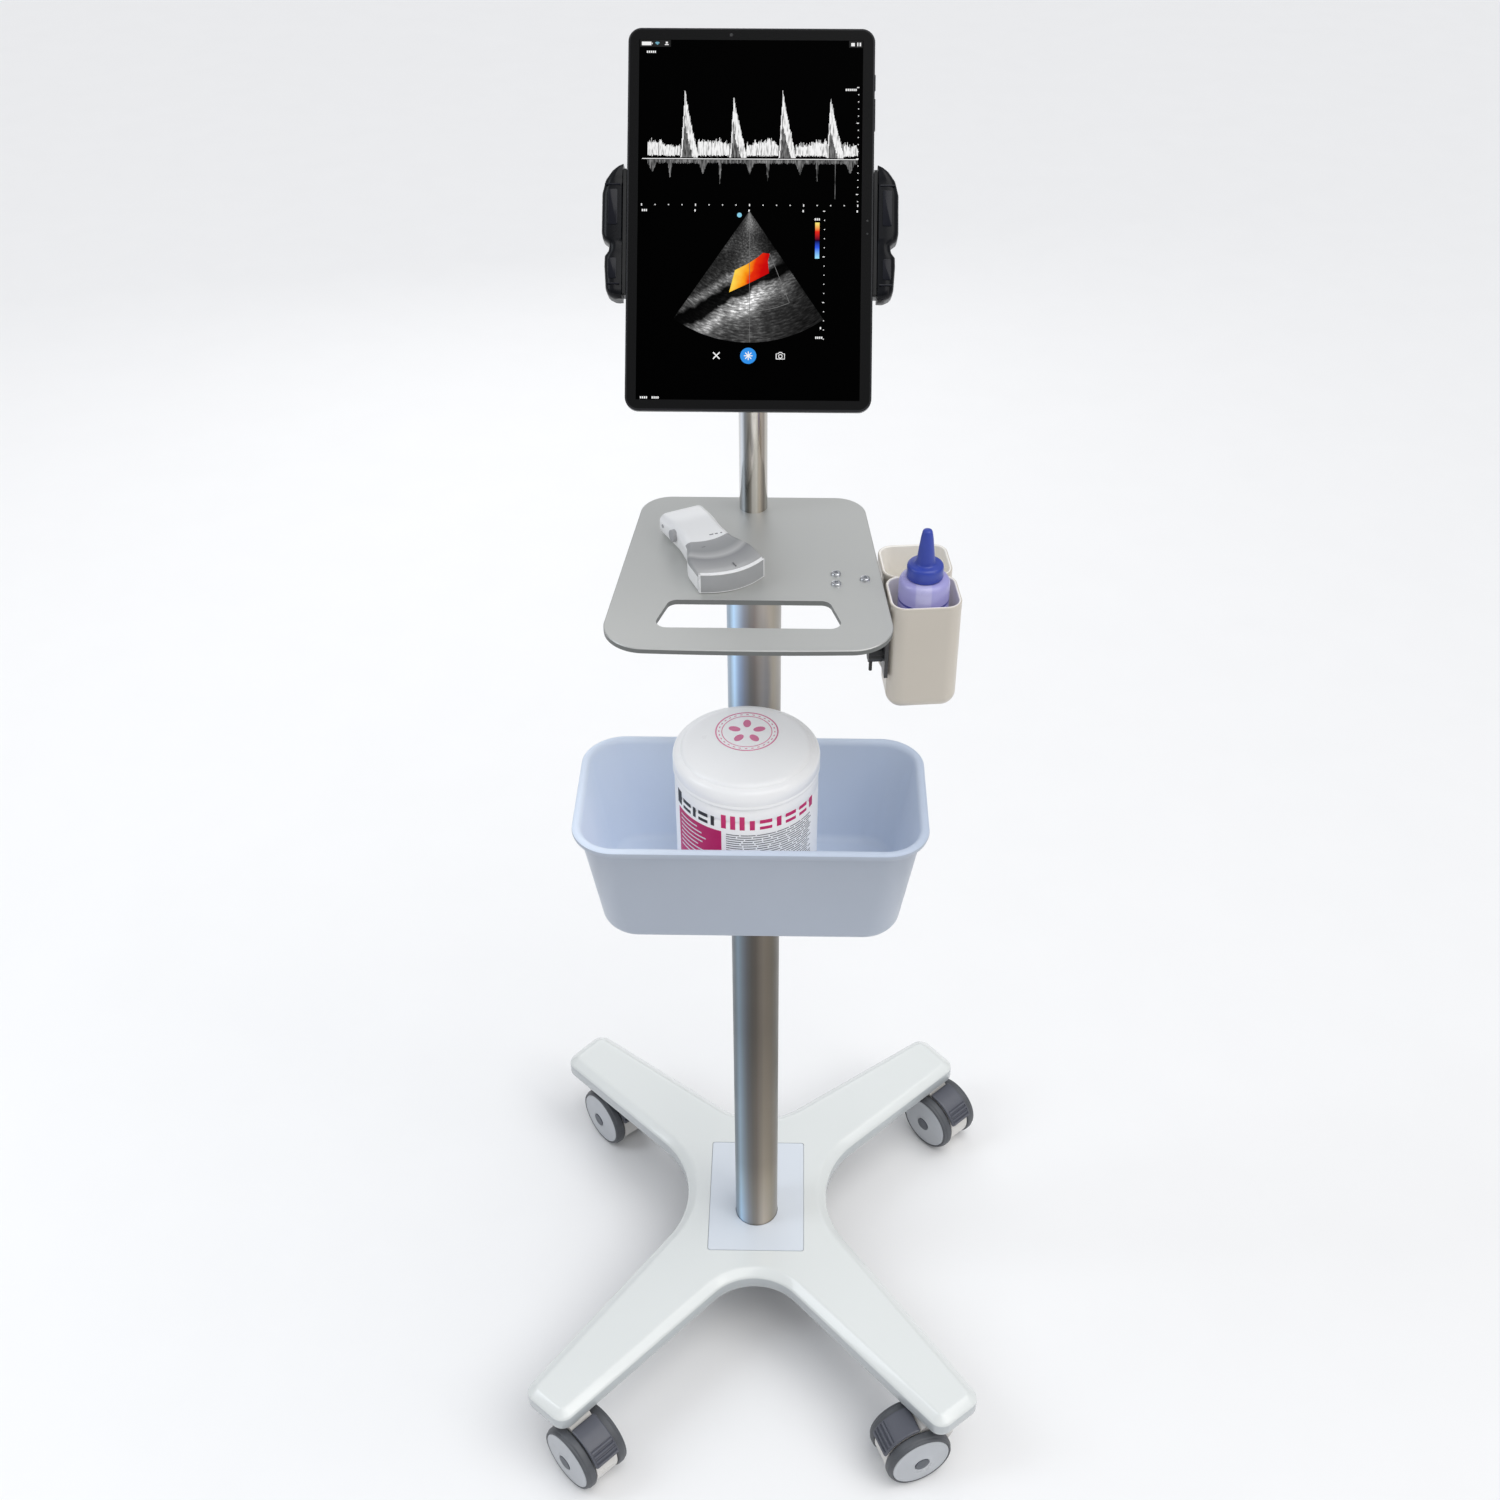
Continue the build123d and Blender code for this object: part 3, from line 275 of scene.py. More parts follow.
def loft(rings, closed=False, caps=True):
    """Skins a row of equal rings of points."""
    count = len(rings[0])
    vertices = [point for ring in rings for point in ring]
    faces = []
    total = len(rings)
    for row in range(total if closed else total - 1):
        after = (row + 1) % total
        for i in range(count):
            j = (i + 1) % count
            faces.append([row * count + i, row * count + j, after * count + j, after * count + i])
    if caps and not closed:
        faces.append(list(range(count))[::-1])
        faces.append([(total - 1) * count + i for i in range(count)])
    return vertices, faces


def rounded_rect(half_x, half_y, radius, steps=6, centre=(0.0, 0.0)):
    """Points round a rounded rectangle, anticlockwise."""
    radius = min(radius, half_x, half_y)
    points = []
    corners = ((half_x, half_y, 0), (-half_x, half_y, 90), (-half_x, -half_y, 180), (half_x, -half_y, 270))
    for x, y, start in corners:
        cx = x - copysign(radius, x)
        cy = y - copysign(radius, y)
        for k in range(steps + 1):
            angle = radians(start + 90 * k / steps)
            points.append((centre[0] + cx + radius * cos(angle), centre[1] + cy + radius * sin(angle)))
    return points


def lathe(profile, steps=96, axis="Z"):
    """Revolves (radius, height) points; a radius of 0 closes the shape on its axis."""
    rings = []
    for k in range(steps):
        angle = tau * k / steps
        rings.append([(r * cos(angle), r * sin(angle), h) for r, h in profile])
    vertices, faces = loft(rings, closed=True, caps=False)
    open_row = len(profile)
    faces = [f for f in faces if not (f[1] % open_row == 0 and f[0] % open_row == open_row - 1)]
    if axis == "X":
        vertices = [(h, x, y) for x, y, h in vertices]
    return vertices, faces


def fillet_run(start, corner, end, radius, steps):
    """Points that round a corner of a profile with an arc-like curve."""
    a, b, c = Vector(start), Vector(corner), Vector(end)
    first = b + (a - b).normalized() * min(radius, (a - b).length * 0.49)
    last = b + (c - b).normalized() * min(radius, (c - b).length * 0.49)
    run = []
    for k in range(steps + 1):
        t = k / steps
        run.append(tuple((1 - t) ** 2 * first + 2 * t * (1 - t) * b + t * t * last))
    return run


def rounded_path(points, radii, steps):
    """Rounds the corners of a closed path: one radius per point, 0 leaves a corner as it is."""
    result = []
    for i, (point, radius) in enumerate(zip(points, radii)):
        if radius <= 0:
            result.append(tuple(point))
        else:
            result += fillet_run(points[i - 1], point, points[(i + 1) % len(points)], radius, steps)
    return result


def prism(outline, low, high, bevel=0.0, axis="Z"):
    """Upright solid from a convex-ish outline with bevelled edges; axis Y turns it to face -Y."""

    def ring(height, inset):
        points = []
        for i, point in enumerate(outline):
            run = (Vector(outline[(i + 1) % len(outline)]) - Vector(outline[i - 1])).normalized()
            points.append((point[0] - run.y * inset, point[1] + run.x * inset, height))
        return points

    rings = [ring(low, 0), ring(high, 0)]
    if bevel:
        up = [ring(low, bevel), ring(low + 0.3 * bevel, 0.3 * bevel), ring(low + bevel, 0)]
        rings = up + [ring(high - bevel, 0), ring(high - 0.3 * bevel, 0.3 * bevel), ring(high, bevel)]
    vertices, faces = loft(rings)
    if axis == "Y":
        vertices = [(x, -z, y) for x, y, z in vertices]
    return vertices, faces


def bar(x0, x1, y0, y1, low, high, bevel=0.0, axis="Z"):
    """Rectangular prism."""
    return prism([(x0, y0), (x1, y0), (x1, y1), (x0, y1)], low, high, bevel, axis)


def circle(radius, steps, centre=(0.0, 0.0), closed=False):
    """Points round a circle, with the first one again at the end when closed."""
    turns = [tau * k / steps for k in range(steps + closed)]
    return [(centre[0] + radius * cos(a), centre[1] + radius * sin(a)) for a in turns]


def arc(radius, degrees):
    """Points on an arc round the origin."""
    return [(radius * cos(radians(a)), radius * sin(radians(a))) for a in degrees]


def moved(part, offset=(0, 0, 0), turn=None):
    vertices, faces = part
    matrix = turn or Matrix.Identity(3)
    return [tuple(matrix @ Vector(v) + Vector(offset)) for v in vertices], faces


def strip(points, half_width, lift):
    """Flat ribbon on the screen along (x, z) points."""
    vertices, faces = [], []
    for i, point in enumerate(points):
        before = Vector(points[max(i - 1, 0)])
        after = Vector(points[min(i + 1, len(points) - 1)])
        along = (after - before).normalized()
        side = Vector((-along.y, along.x)) * half_width
        here = Vector(point)
        vertices += [(here.x - side.x, -lift, here.y - side.y), (here.x + side.x, -lift, here.y + side.y)]
    for i in range(len(points) - 1):
        faces.append([2 * i, 2 * i + 1, 2 * i + 3, 2 * i + 2])
    return vertices, faces


# ---- camera, floor and light ----
CAMERA_PLACE = (0.030, -1.21775, 1.6863)
CAMERA_DOWN = 37.94
CAMERA_LEFT = 0.9965
CAMERA_LENS = 42.48
CAMERA_SHIFT = -0.0098
FLOOR_HALF = 6.0
SKY = [
    (0.46, (0.50, 0.50, 0.51)), (0.54, (0.28, 0.29, 0.31)), (0.70, (0.50, 0.52, 0.55)),
    (0.95, (0.95, 0.96, 1.0))]
SKY_STRENGTH = 0.72
SUN_WAY = (-0.42, 0.26, -1.0)
SUN_ENERGY = 1.35
SUN_WIDTH = 55
AREA_LIGHTS = (
    ("window", (-1.9, -0.4, 2.2), (0, -0.1, 0.5), (0.7, 1.6), 12, (0.88, 0.94, 1.0)),
    ("fill", (1.9, -1.2, 1.7), (0, 0, 0.6), (0.5, 1.8), 5, (1.0, 0.97, 0.93)),
    ("back", (-0.5, 2.4, 1.5), (0, 0, 0.7), (1.4, 1.4), 6, (1.0, 1.0, 1.0)),
)


def add_object(name, data):
    obj = bpy.data.objects.new(name, data)
    bpy.context.scene.collection.objects.link(obj)
    return obj


def facing(way):
    return Vector(way).to_track_quat("-Z", "Y").to_euler()


def make_stage():
    data = bpy.data.cameras.new("camera")
    data.sensor_width = 36.0
    data.lens = CAMERA_LENS
    data.shift_x = CAMERA_SHIFT
    camera = add_object("camera", data)
    camera.location = CAMERA_PLACE
    camera.rotation_euler = (radians(90 - CAMERA_DOWN), 0, radians(CAMERA_LEFT))
    bpy.context.scene.camera = camera
    bpy.context.scene.view_settings.view_transform = "Standard"
    mesh = bpy.data.meshes.new("floor")
    corners = [(x * FLOOR_HALF, y * FLOOR_HALF, 0) for x, y in ((-1, -1), (1, -1), (1, 1), (-1, 1))]
    mesh.from_pydata(corners, [], [[0, 1, 2, 3]])
    mesh.materials.append(
        surface("floor_pale", (0.9, 0.9, 0.9), rough=0.8, tint=0.005, grain=0.02, specular=0.1))
    floor = add_object("floor", mesh)


def make_light():
    world = bpy.data.worlds.new("studio")
    bpy.context.scene.world = world
    world.use_nodes = True
    tree = world.node_tree
    background = tree.nodes["Background"]
    x, y, z = axes(tree, new_node(tree, "ShaderNodeTexCoord").outputs["Generated"])
    link(tree, ramp(tree, z * 0.5 + 0.5, SKY), background.inputs["Color"])
    background.inputs["Strength"].default_value = SKY_STRENGTH
    data = bpy.data.lights.new("daylight", "SUN")
    data.energy = SUN_ENERGY
    data.angle = radians(SUN_WIDTH)
    data.color = (1.0, 0.995, 0.98)
    add_object("daylight", data).rotation_euler = facing(SUN_WAY)
    for name, place, target, size, power, colour in AREA_LIGHTS:
        data = bpy.data.lights.new(name, "AREA")
        data.shape = "RECTANGLE"
        data.size, data.size_y = size
        data.energy = power
        data.color = colour
        light = add_object(name, data)
        light.location = place
        light.rotation_euler = facing(Vector(target) - Vector(place))


# ---- materials ----
CUP_TURN = radians(5.54)
HALF_CUP_PITCH = 0.0219
INWARD_LIMIT = 0.0008


# Painted reflections of the satin column: light and dark bands by angle round its upright axis.
COLUMN_REFLECTIONS = [
    (-180, (0.13, 0.12, 0.11)), (-140, (0.20, 0.24, 0.29)), (-115, (0.13, 0.14, 0.15)),
    (-60, (0.11, 0.14, 0.165)), (-46, (0.20, 0.27, 0.33)), (-33, (0.16, 0.19, 0.22)),
    (-20, (0.12, 0.122, 0.128)), (-8, (0.10, 0.094, 0.085)), (2, (0.11, 0.096, 0.083)),
    (12, (0.16, 0.14, 0.118)), (21, (0.19, 0.165, 0.135)), (33, (0.17, 0.145, 0.115)),
    (46, (0.14, 0.122, 0.095)), (64, (0.13, 0.118, 0.10)), (120, (0.19, 0.18, 0.165)),
    (150, (0.12, 0.11, 0.10)), (180, (0.13, 0.12, 0.11)),
]


def column_painted_reflections(tree, colour):
    """Painted reflections: soft upright light and dark bands round the satin tube, and painted light that
    makes it paler near the base and under the tray.
    """
    streaks = around(tree, COLUMN_REFLECTIONS)
    x, y, z = object_axes(tree)
    # Painted light: much paler near the base, which it mirrors, and under the tray, where it gets too little
    # light.
    height = ramp(tree, z, [(0.10, 3.2), (0.20, 1.7), (0.40, 0.95), (0.70, 1.0), (0.82, (2.9, 3.0, 3.2))])
    return multiply(tree, multiply(tree, streaks, height), mix(tree, 0.12, (1.0, 1.0, 1.0), colour))


# Painted reflections of the polished tube: light and dark bands by angle round its upright axis.
TUBE_REFLECTIONS = [
    (-180, 0.5), (-150, (0.9, 0.88, 0.84)), (-120, (0.2, 0.2, 0.21)), (-75, (0.62, 0.61, 0.6)),
    (-50, (0.66, 0.70, 0.76)), (-34, (0.18, 0.19, 0.20)), (-20, (0.22, 0.21, 0.19)),
    (-9, (0.50, 0.46, 0.41)), (-3, (0.98, 0.93, 0.86)), (14, (0.98, 0.93, 0.85)), (22, (0.62, 0.55, 0.47)),
    (34, (0.40, 0.35, 0.30)), (48, (0.30, 0.27, 0.24)), (60, (0.58, 0.55, 0.50)), (80, (0.45, 0.43, 0.40)),
    (120, (0.85, 0.84, 0.82)), (150, 0.2), (180, 0.5),
]


def tube_painted_reflections(tree, colour):
    """Painted reflections: hard light and dark upright bands round the polished tube."""
    streaks = around(tree, TUBE_REFLECTIONS)
    return multiply(tree, streaks, mix(tree, 0.2, (1.0, 1.0, 1.0), colour))


def by_slope(tree, colour, upright, low, high):
    """Painted shade: darkens the upright faces of a flat part."""
    x, y, z = normal_axes(tree)
    return multiply(tree, colour, ramp(tree, abs(z), [(low, upright), (high, 1.0)]))


def tray_edge_shade(tree, colour):
    """Painted shade on the cut edges of the tray's sheet, darker than its faces."""
    return by_slope(tree, colour, (0.30, 0.31, 0.31), 0.25, 0.85)


def shaded_walls(tree, colour):
    """Painted shade: side walls of the base shell, a little greyer than its top."""
    return by_slope(tree, colour, (0.66, 0.68, 0.71), 0.1, 0.45)


def bin_inside_light(tree, colour):
    """Painted light inside the bin: paler towards its left side, darker towards its right."""
    x, y, z = object_axes(tree)
    painted_light_across = ramp(tree, x * 3.0 + 0.5, [(0.10, 1.12), (0.30, 0.95), (0.90, (0.76, 0.78, 0.82))])
    return multiply(tree, colour, painted_light_across)


def cup_inside_light(tree, colour):
    """Painted light: paler walls inside the two cups, on the faces that look towards the middle of their cup.
    """
    x, y, z = object_axes(tree)
    facing_x, facing_y, facing_z = normal_axes(tree)
    low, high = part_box("cup_holder")
    middle = (low + high) / 2
    c, s = cos(CUP_TURN), sin(CUP_TURN)

    def component(a, b, dx, dy):
        return a * dx + b * dy

    across = component(x, y, c, s) - component(middle.x, middle.y, c, s)
    along = component(x, y, -s, c) - component(middle.x, middle.y, -s, c)
    from_cup = (abs(along) - HALF_CUP_PITCH) * along.math("SIGN", along)
    outward = across * component(facing_x, facing_y, c, s) + from_cup * component(facing_x, facing_y, -s, c)
    return mix(tree, (outward < INWARD_LIMIT) * (z > low.z + 0.001), colour, (0.93, 0.90, 0.84))


# The base shell's side walls carry painted shade.
BASE_SHELL = surface(
    "base_shell", (0.75, 0.775, 0.76), rough=0.24, coat=0.45, coat_rough=0.06, tint=0.02, tint_scale=3.5,
    grain=0.03, grain_scale=900.0, rough_vary=0.03, recolour=shaded_walls)
PLATE_WHITE = surface(
    "plate_white", (0.70, 0.745, 0.80), rough=0.38, coat=0.15, tint=0.02, tint_scale=6.0, grain=0.12,
    grain_scale=2600.0)
FRAME_STEEL = surface(
    "frame_steel", (0.035, 0.037, 0.04), rough=0.5, coat=0.1, grain=0.25, grain_scale=2200.0,
    worn=(0.2, 0.2, 0.2))
ZINC = surface(
    "zinc", (0.6, 0.61, 0.63), rough=0.3, metal=1.0, tint=0.12, tint_scale=160.0, grain=0.1,
    grain_scale=1400.0)
COLUMN = surface(
    "column_silver", (0.9, 0.9, 0.9), rough=0.36, metal=0.9, tint=0.1, tint_scale=60.0,
    tint_stretch=(1, 1, 0.02), grain=0.06, grain_scale=500.0, grain_stretch=(1, 1, 0.02), rough_vary=0.05,
    recolour=column_painted_reflections)
CHROME = surface(
    "tube_chrome", (0.9, 0.9, 0.9), rough=0.16, metal=1.0, tint=0.1, tint_scale=90.0,
    tint_stretch=(1, 1, 0.02), grain=0.03, grain_scale=300.0, grain_stretch=(1, 1, 0.02), rough_vary=0.04,
    recolour=tube_painted_reflections)
# The tray's upright cut edges carry painted shade.
TRAY = surface(
    "tray_silver", (0.59, 0.595, 0.575), rough=0.45, metal=0.55, tint=0.008, tint_scale=2.0, grain=0.06,
    grain_scale=3200.0, grain_depth=0.0002, rough_vary=0.008, recolour=tray_edge_shade)
BIN = surface(
    "bin_blue", (0.44, 0.49, 0.575), rough=0.36, coat=0.12, coat_rough=0.2, tint=0.03, tint_scale=5.0,
    grain=0.08, grain_scale=1500.0, rough_vary=0.05)
# Painted light: a paler, lit copy of the bin's blue for its inside faces, with a painted glow.
BIN_INSIDE_LIT = surface(
    "bin_blue_inside_lit", (0.60, 0.67, 0.78), rough=0.4, tint=0.02, tint_scale=5.0, grain=0.08,
    grain_scale=1500.0, rough_vary=0.05, painted_glow=0.16, recolour=bin_inside_light)
# Painted light: the cream is paler on the cups' inside walls, with a faint painted glow.
CUP = surface(
    "cup_cream", (0.60, 0.55, 0.475), rough=0.32, coat=0.15, coat_rough=0.15, tint=0.02, tint_scale=9.0,
    grain=0.04, grain_scale=900.0, rough_vary=0.02, painted_glow=0.04, recolour=cup_inside_light)
BLACK_METAL = surface(
    "black_metal", (0.015, 0.015, 0.017), rough=0.42, coat=0.1, grain=0.3, grain_scale=2400.0,
    worn=(0.12, 0.12, 0.12))
KNOB_BLACK = surface(
    "knob_black", (0.012, 0.012, 0.013), rough=0.5, grain=0.25, grain_scale=1800.0, worn=(0.08, 0.08, 0.08))
CAP_BLUE = surface("cap_blue", (0.035, 0.065, 0.40), rough=0.34, tint=0.08, tint_scale=60.0, grain=0.08)
# Painted light: a faint glow keeps the tub's white bright in the shade of the tray.
TUB_WHITE = surface(
    "tub_white", (0.90, 0.90, 0.905), rough=0.3, coat=0.15, tint=0.004, grain=0.03, grain_scale=900.0,
    rough_vary=0.03, painted_glow=0.1)
BUTTON_GREY = surface("button_grey", (0.45, 0.45, 0.46), rough=0.4, grain=0.1)
TABLET_BLACK = surface(
    "tablet_black", (0.014, 0.014, 0.016), rough=0.4, metal=0.5, grain=0.15, grain_scale=4000.0,
    worn=(0.1, 0.1, 0.11))
BEZEL_BLACK = surface(
    "screen_bezel", (0.0078, 0.0078, 0.008), rough=0.25, specular=0.05, tint=0.03, grain=0.0, rough_vary=0.03)
SCREEN_BLACK = surface(
    "screen_black", (0.0002, 0.0002, 0.0002), rough=0.3, specular=0.008, tint=0.02, grain=0.0,
    rough_vary=0.03)
BATTERY = surface("battery_grey", (0.03, 0.03, 0.032), rough=0.6)
JAW_BLACK = surface(
    "jaw_black", (0.003, 0.0034, 0.005), rough=0.3, specular=0.16, coat=0.03, coat_rough=0.1, grain=0.1,
    grain_scale=2000.0, worn=(0.05, 0.05, 0.055), worn_amount=0.4)
JAW_PANEL = surface(
    "jaw_panel", (0.006, 0.0065, 0.011), rough=0.22, specular=0.2, coat=0.06, coat_rough=0.1, grain=0.05)
LENS_DARK = surface("sensor_dark", (0.002, 0.002, 0.003), rough=0.08, coat=0.5, grain=0.0)
PAD_RUBBER = surface("pad_rubber", (0.01, 0.01, 0.01), rough=0.75, grain=0.4, grain_scale=1500.0)
CASTER_GREY = surface(
    "caster_grey", (0.68, 0.66, 0.63), rough=0.32, coat=0.2, tint=0.04, tint_scale=40.0, grain=0.1)
DISC = surface("disc_blue", (0.49, 0.51, 0.54), rough=0.34, coat=0.2, tint=0.04, tint_scale=50.0, grain=0.12)
TYRE = surface(
    "tyre_grey", (0.085, 0.09, 0.10), rough=0.5, tint=0.12, tint_scale=60.0, grain=0.3, grain_scale=1200.0,
    worn=(0.2, 0.2, 0.2), worn_amount=0.2)
PEDAL = surface(
    "pedal_grey", (0.088, 0.093, 0.115), rough=0.42, coat=0.1, grain=0.25, grain_scale=1600.0,
    worn=(0.3, 0.3, 0.33), worn_amount=0.4)
HUB_CAP = surface("hub_cap_grey", (0.10, 0.11, 0.13), rough=0.45, grain=0.2)


NODES_BY_FINISH = (
    (FRAME_STEEL, "base_frame column_flange"),
    (PLATE_WHITE, "base_center_plate"),
    (ZINC, "base_cover_screws flange_bolts caster_stems tray_screws bin_screws cup_bracket_screws tilt_pin"),
    (COLUMN, "lower_column"),
    (CHROME, "upper_tube"),
    (BLACK_METAL, "tray_mount bin_bracket cup_bracket pole_clamp"),
    (TRAY, "tray"),
    (BIN, "bin"),
    (CUP, "cup_holder"),
    (KNOB_BLACK, "cup_knob tilt_block clamp_knob"),
    (BUTTON_GREY, "probe_button"),
    (TABLET_BLACK, "tablet_housing tablet_power_key tablet_volume_key"),
    (BEZEL_BLACK, "tablet_glass"),
    (BATTERY, "tablet_battery"),
    (JAW_BLACK, "holder_back_plate jaw_right jaw_left"),
    (PAD_RUBBER, "jaw_pad_right jaw_pad_left"),
)
CASTER_FINISH = {"housing": CASTER_GREY, "axle": HUB_CAP, "pedal": PEDAL, "hubs": DISC, "tyres": TYRE}


def dress(name, material):
    mesh = NODES[name].data
    mesh.materials.clear()
    mesh.materials.append(material)


def dress_cad_nodes():
    for material, names in NODES_BY_FINISH:
        for name in names.split():
            dress(name, material)
    for corner in CORNERS:
        for part, material in CASTER_FINISH.items():
            dress(f"caster_{corner}_{part}", material)


# ---- base shell ----
BEVEL_TALL = 6.5
SHELL_THICK = 3.0
SEAT_DEPTH = 1.4
HALF_BASE = (
    ((0.0, -58.0), 57.0, 1),
    ((186.0, -258.5), 14.0, -1),
    ((229.0, -223.0), 14.0, -1),
    ((45.3, 35.9), 98.0, 1),
    ((232.0, 215.5), 14.0, -1),
    ((194.0, 260.5), 14.0, -1),
    ((0.0, 113.5), 74.0, 1),
)


def base_ring(inset, height):
    """Outline of the base moved inwards, with points that match from one inset to the next."""
    left = [((-p[0], p[1]), r, s) for p, r, s in reversed(HALF_BASE[1:-1])]
    corners = list(HALF_BASE) + left
    ring = []
    for i, (point, radius, sign) in enumerate(corners):
        here = Vector(point)
        first = (here - Vector(corners[i - 1][0])).normalized()
        second = (Vector(corners[(i + 1) % len(corners)][0]) - here).normalized()
        n1 = Vector((-first.y, first.x))
        n2 = Vector((-second.y, second.x))
        centre = here - sign * (n1 + n2) / (1 + n1.dot(n2)) * radius
        start = atan2(n1.y, n1.x)
        sweep = (atan2(n2.y, n2.x) - start + pi) % tau - pi
        steps = 28 if sign > 0 else 10
        for k in range(steps + 1):
            angle = start + sweep * k / steps
            reach = sign * radius + inset
            ring.append((centre.x + reach * cos(angle), centre.y + reach * sin(angle), height))
    return ring


def holed_plate(outer, hole):
    """Flat face between an outer ring and the ring of a hole."""
    points = list(outer) + list(hole)
    triangles = tessellate_polygon([[Vector(p) for p in outer], [Vector(p) for p in hole]])
    return points, [list(t) for t in triangles]


def make_base_shell():
    low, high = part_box("base_cover")
    bottom, top = low.z / MM, high.z / MM
    shoulder = top - BEVEL_TALL
    plate_low, plate_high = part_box("base_center_plate")
    half_x = plate_high.x / MM
    half_y = (plate_high.y - plate_low.y) / MM / 2
    centre = (0.0, (plate_high.y + plate_low.y) / MM / 2)
    outside = [
        (0.9, bottom), (0.25, bottom + 0.3), (0.0, bottom + 1.0), (0.0, shoulder - 2.2),
        (0.2, shoulder - 0.9), (0.8, shoulder + 0.3), (1.8, shoulder + 1.2), (7.6, top - 1.5),
        (8.8, top - 0.75), (10.2, top - 0.2), (11.8, top), (14.0, top)]
    inside = [(13.5, top - SHELL_THICK), (SHELL_THICK, shoulder - 2.0), (SHELL_THICK, bottom)]
    rings = [base_ring(inset, height) for inset, height in inside + outside]
    shell = loft(rings, caps=False)

    def window(margin, height):
        outline = rounded_rect(half_x + margin, half_y + margin, 3.0, 6, centre)
        return [(x, y, height) for x, y in outline]

    seat, under_side = top - SEAT_DEPTH, top - SHELL_THICK
    rim = [window(0.5, top), window(0.5, seat), window(-4.0, seat), window(-4.0, under_side)]
    flat_top, flat_under = holed_plate(rings[-1], rim[0]), holed_plate(rings[0], rim[-1])
    parts = joined(shell, flat_top, loft(rim, caps=False), flat_under)
    piece("base_shell", *parts, BASE_SHELL, "stand", "base_shell", replaces=["base_cover"], smooth=38.0)


# ---- casters ----
def axis_of(joint):
    return Vector(JOINTS[joint]["axis"]).normalized()


def place_of(joint):
    return Vector(JOINTS[joint]["pos_m"])


def basis(x, y, z, origin):
    matrix = Matrix((x, y, z)).transposed().to_4x4()
    matrix.translation = origin
    return matrix


def mirrored(part, axis):
    flip = [1, 1, 1]
    flip[axis] = -1
    vertices, faces = part
    return [tuple(a * b for a, b in zip(v, flip)) for v in vertices], [list(reversed(f)) for f in faces]


def ring_lathe(profile, radii, steps=72, axis="Y"):
    """Revolves a closed profile of (radius, offset) points with rounded corners."""
    path = rounded_path(profile, radii, 6)
    rings = []
    for k in range(steps):
        angle = tau * k / steps
        rings.append([(r * cos(angle), h, r * sin(angle)) for r, h in path])
    vertices, faces = loft(rings, closed=True, caps=False)
    if axis == "Z":
        vertices = [(x, z, y) for x, y, z in vertices]
    return vertices, faces


def washer(inner, outer, thick, steps):
    return ring_lathe([(inner, 0.0), (outer, 0.0), (outer, thick), (inner, thick)], [0] * 4, steps, "Z")


PEDAL_FIRST, PEDAL_LAST = 22.0, 94.0
PEDAL_STEPS = 96
PEDAL_INNER, PEDAL_OUTER, PEDAL_HALF = 36.3, 39.6, 14.6
RIB_START, RIB_PITCH, RIB_HALF = 4.5, 7.0, 2.1


def pedal_rings():
    """Cross-sections of the brake pedal along its arc, with four ribs across its lower half."""
    rings = []
    for k in range(PEDAL_STEPS + 1):
        angle = PEDAL_FIRST + (PEDAL_LAST - PEDAL_FIRST) * k / PEDAL_STEPS
        ease = sqrt(min(min(angle - PEDAL_FIRST, PEDAL_LAST - angle) / 2.6, 1.0))
        rib = 0.0
        for row in range(4):
            away = abs(angle - (PEDAL_FIRST + RIB_START + RIB_PITCH * row))
            rib = max(rib, min(max((RIB_HALF - away) / 0.8, 0.0), 1.0))
        flat = PEDAL_OUTER - 1.4 * (1 - ease)
        groove = flat - (0.9 if PEDAL_FIRST + 1.6 < angle < PEDAL_FIRST + 29.0 else 0.0) + 1.8 * rib
        half = PEDAL_HALF - 1.6 * (1 - ease)
        inner = PEDAL_INNER + 1.0 * (1 - ease)
        side = [
            (half, inner + 0.7), (half, flat - 1.4), (half - 0.5, flat - 0.4), (half - 1.3, flat),
            (half - 1.9, flat), (half - 2.3, groove)]
        section = [(0.8 - half, inner), (half - 0.8, inner)] + side + [(-y, r) for y, r in reversed(side)]
        c, s = cos(radians(angle)), sin(radians(angle))
        rings.append([(r * c, y, r * s) for y, r in section])
    return rings


def both_sides(part):
    return joined(part, mirrored(part, 1))


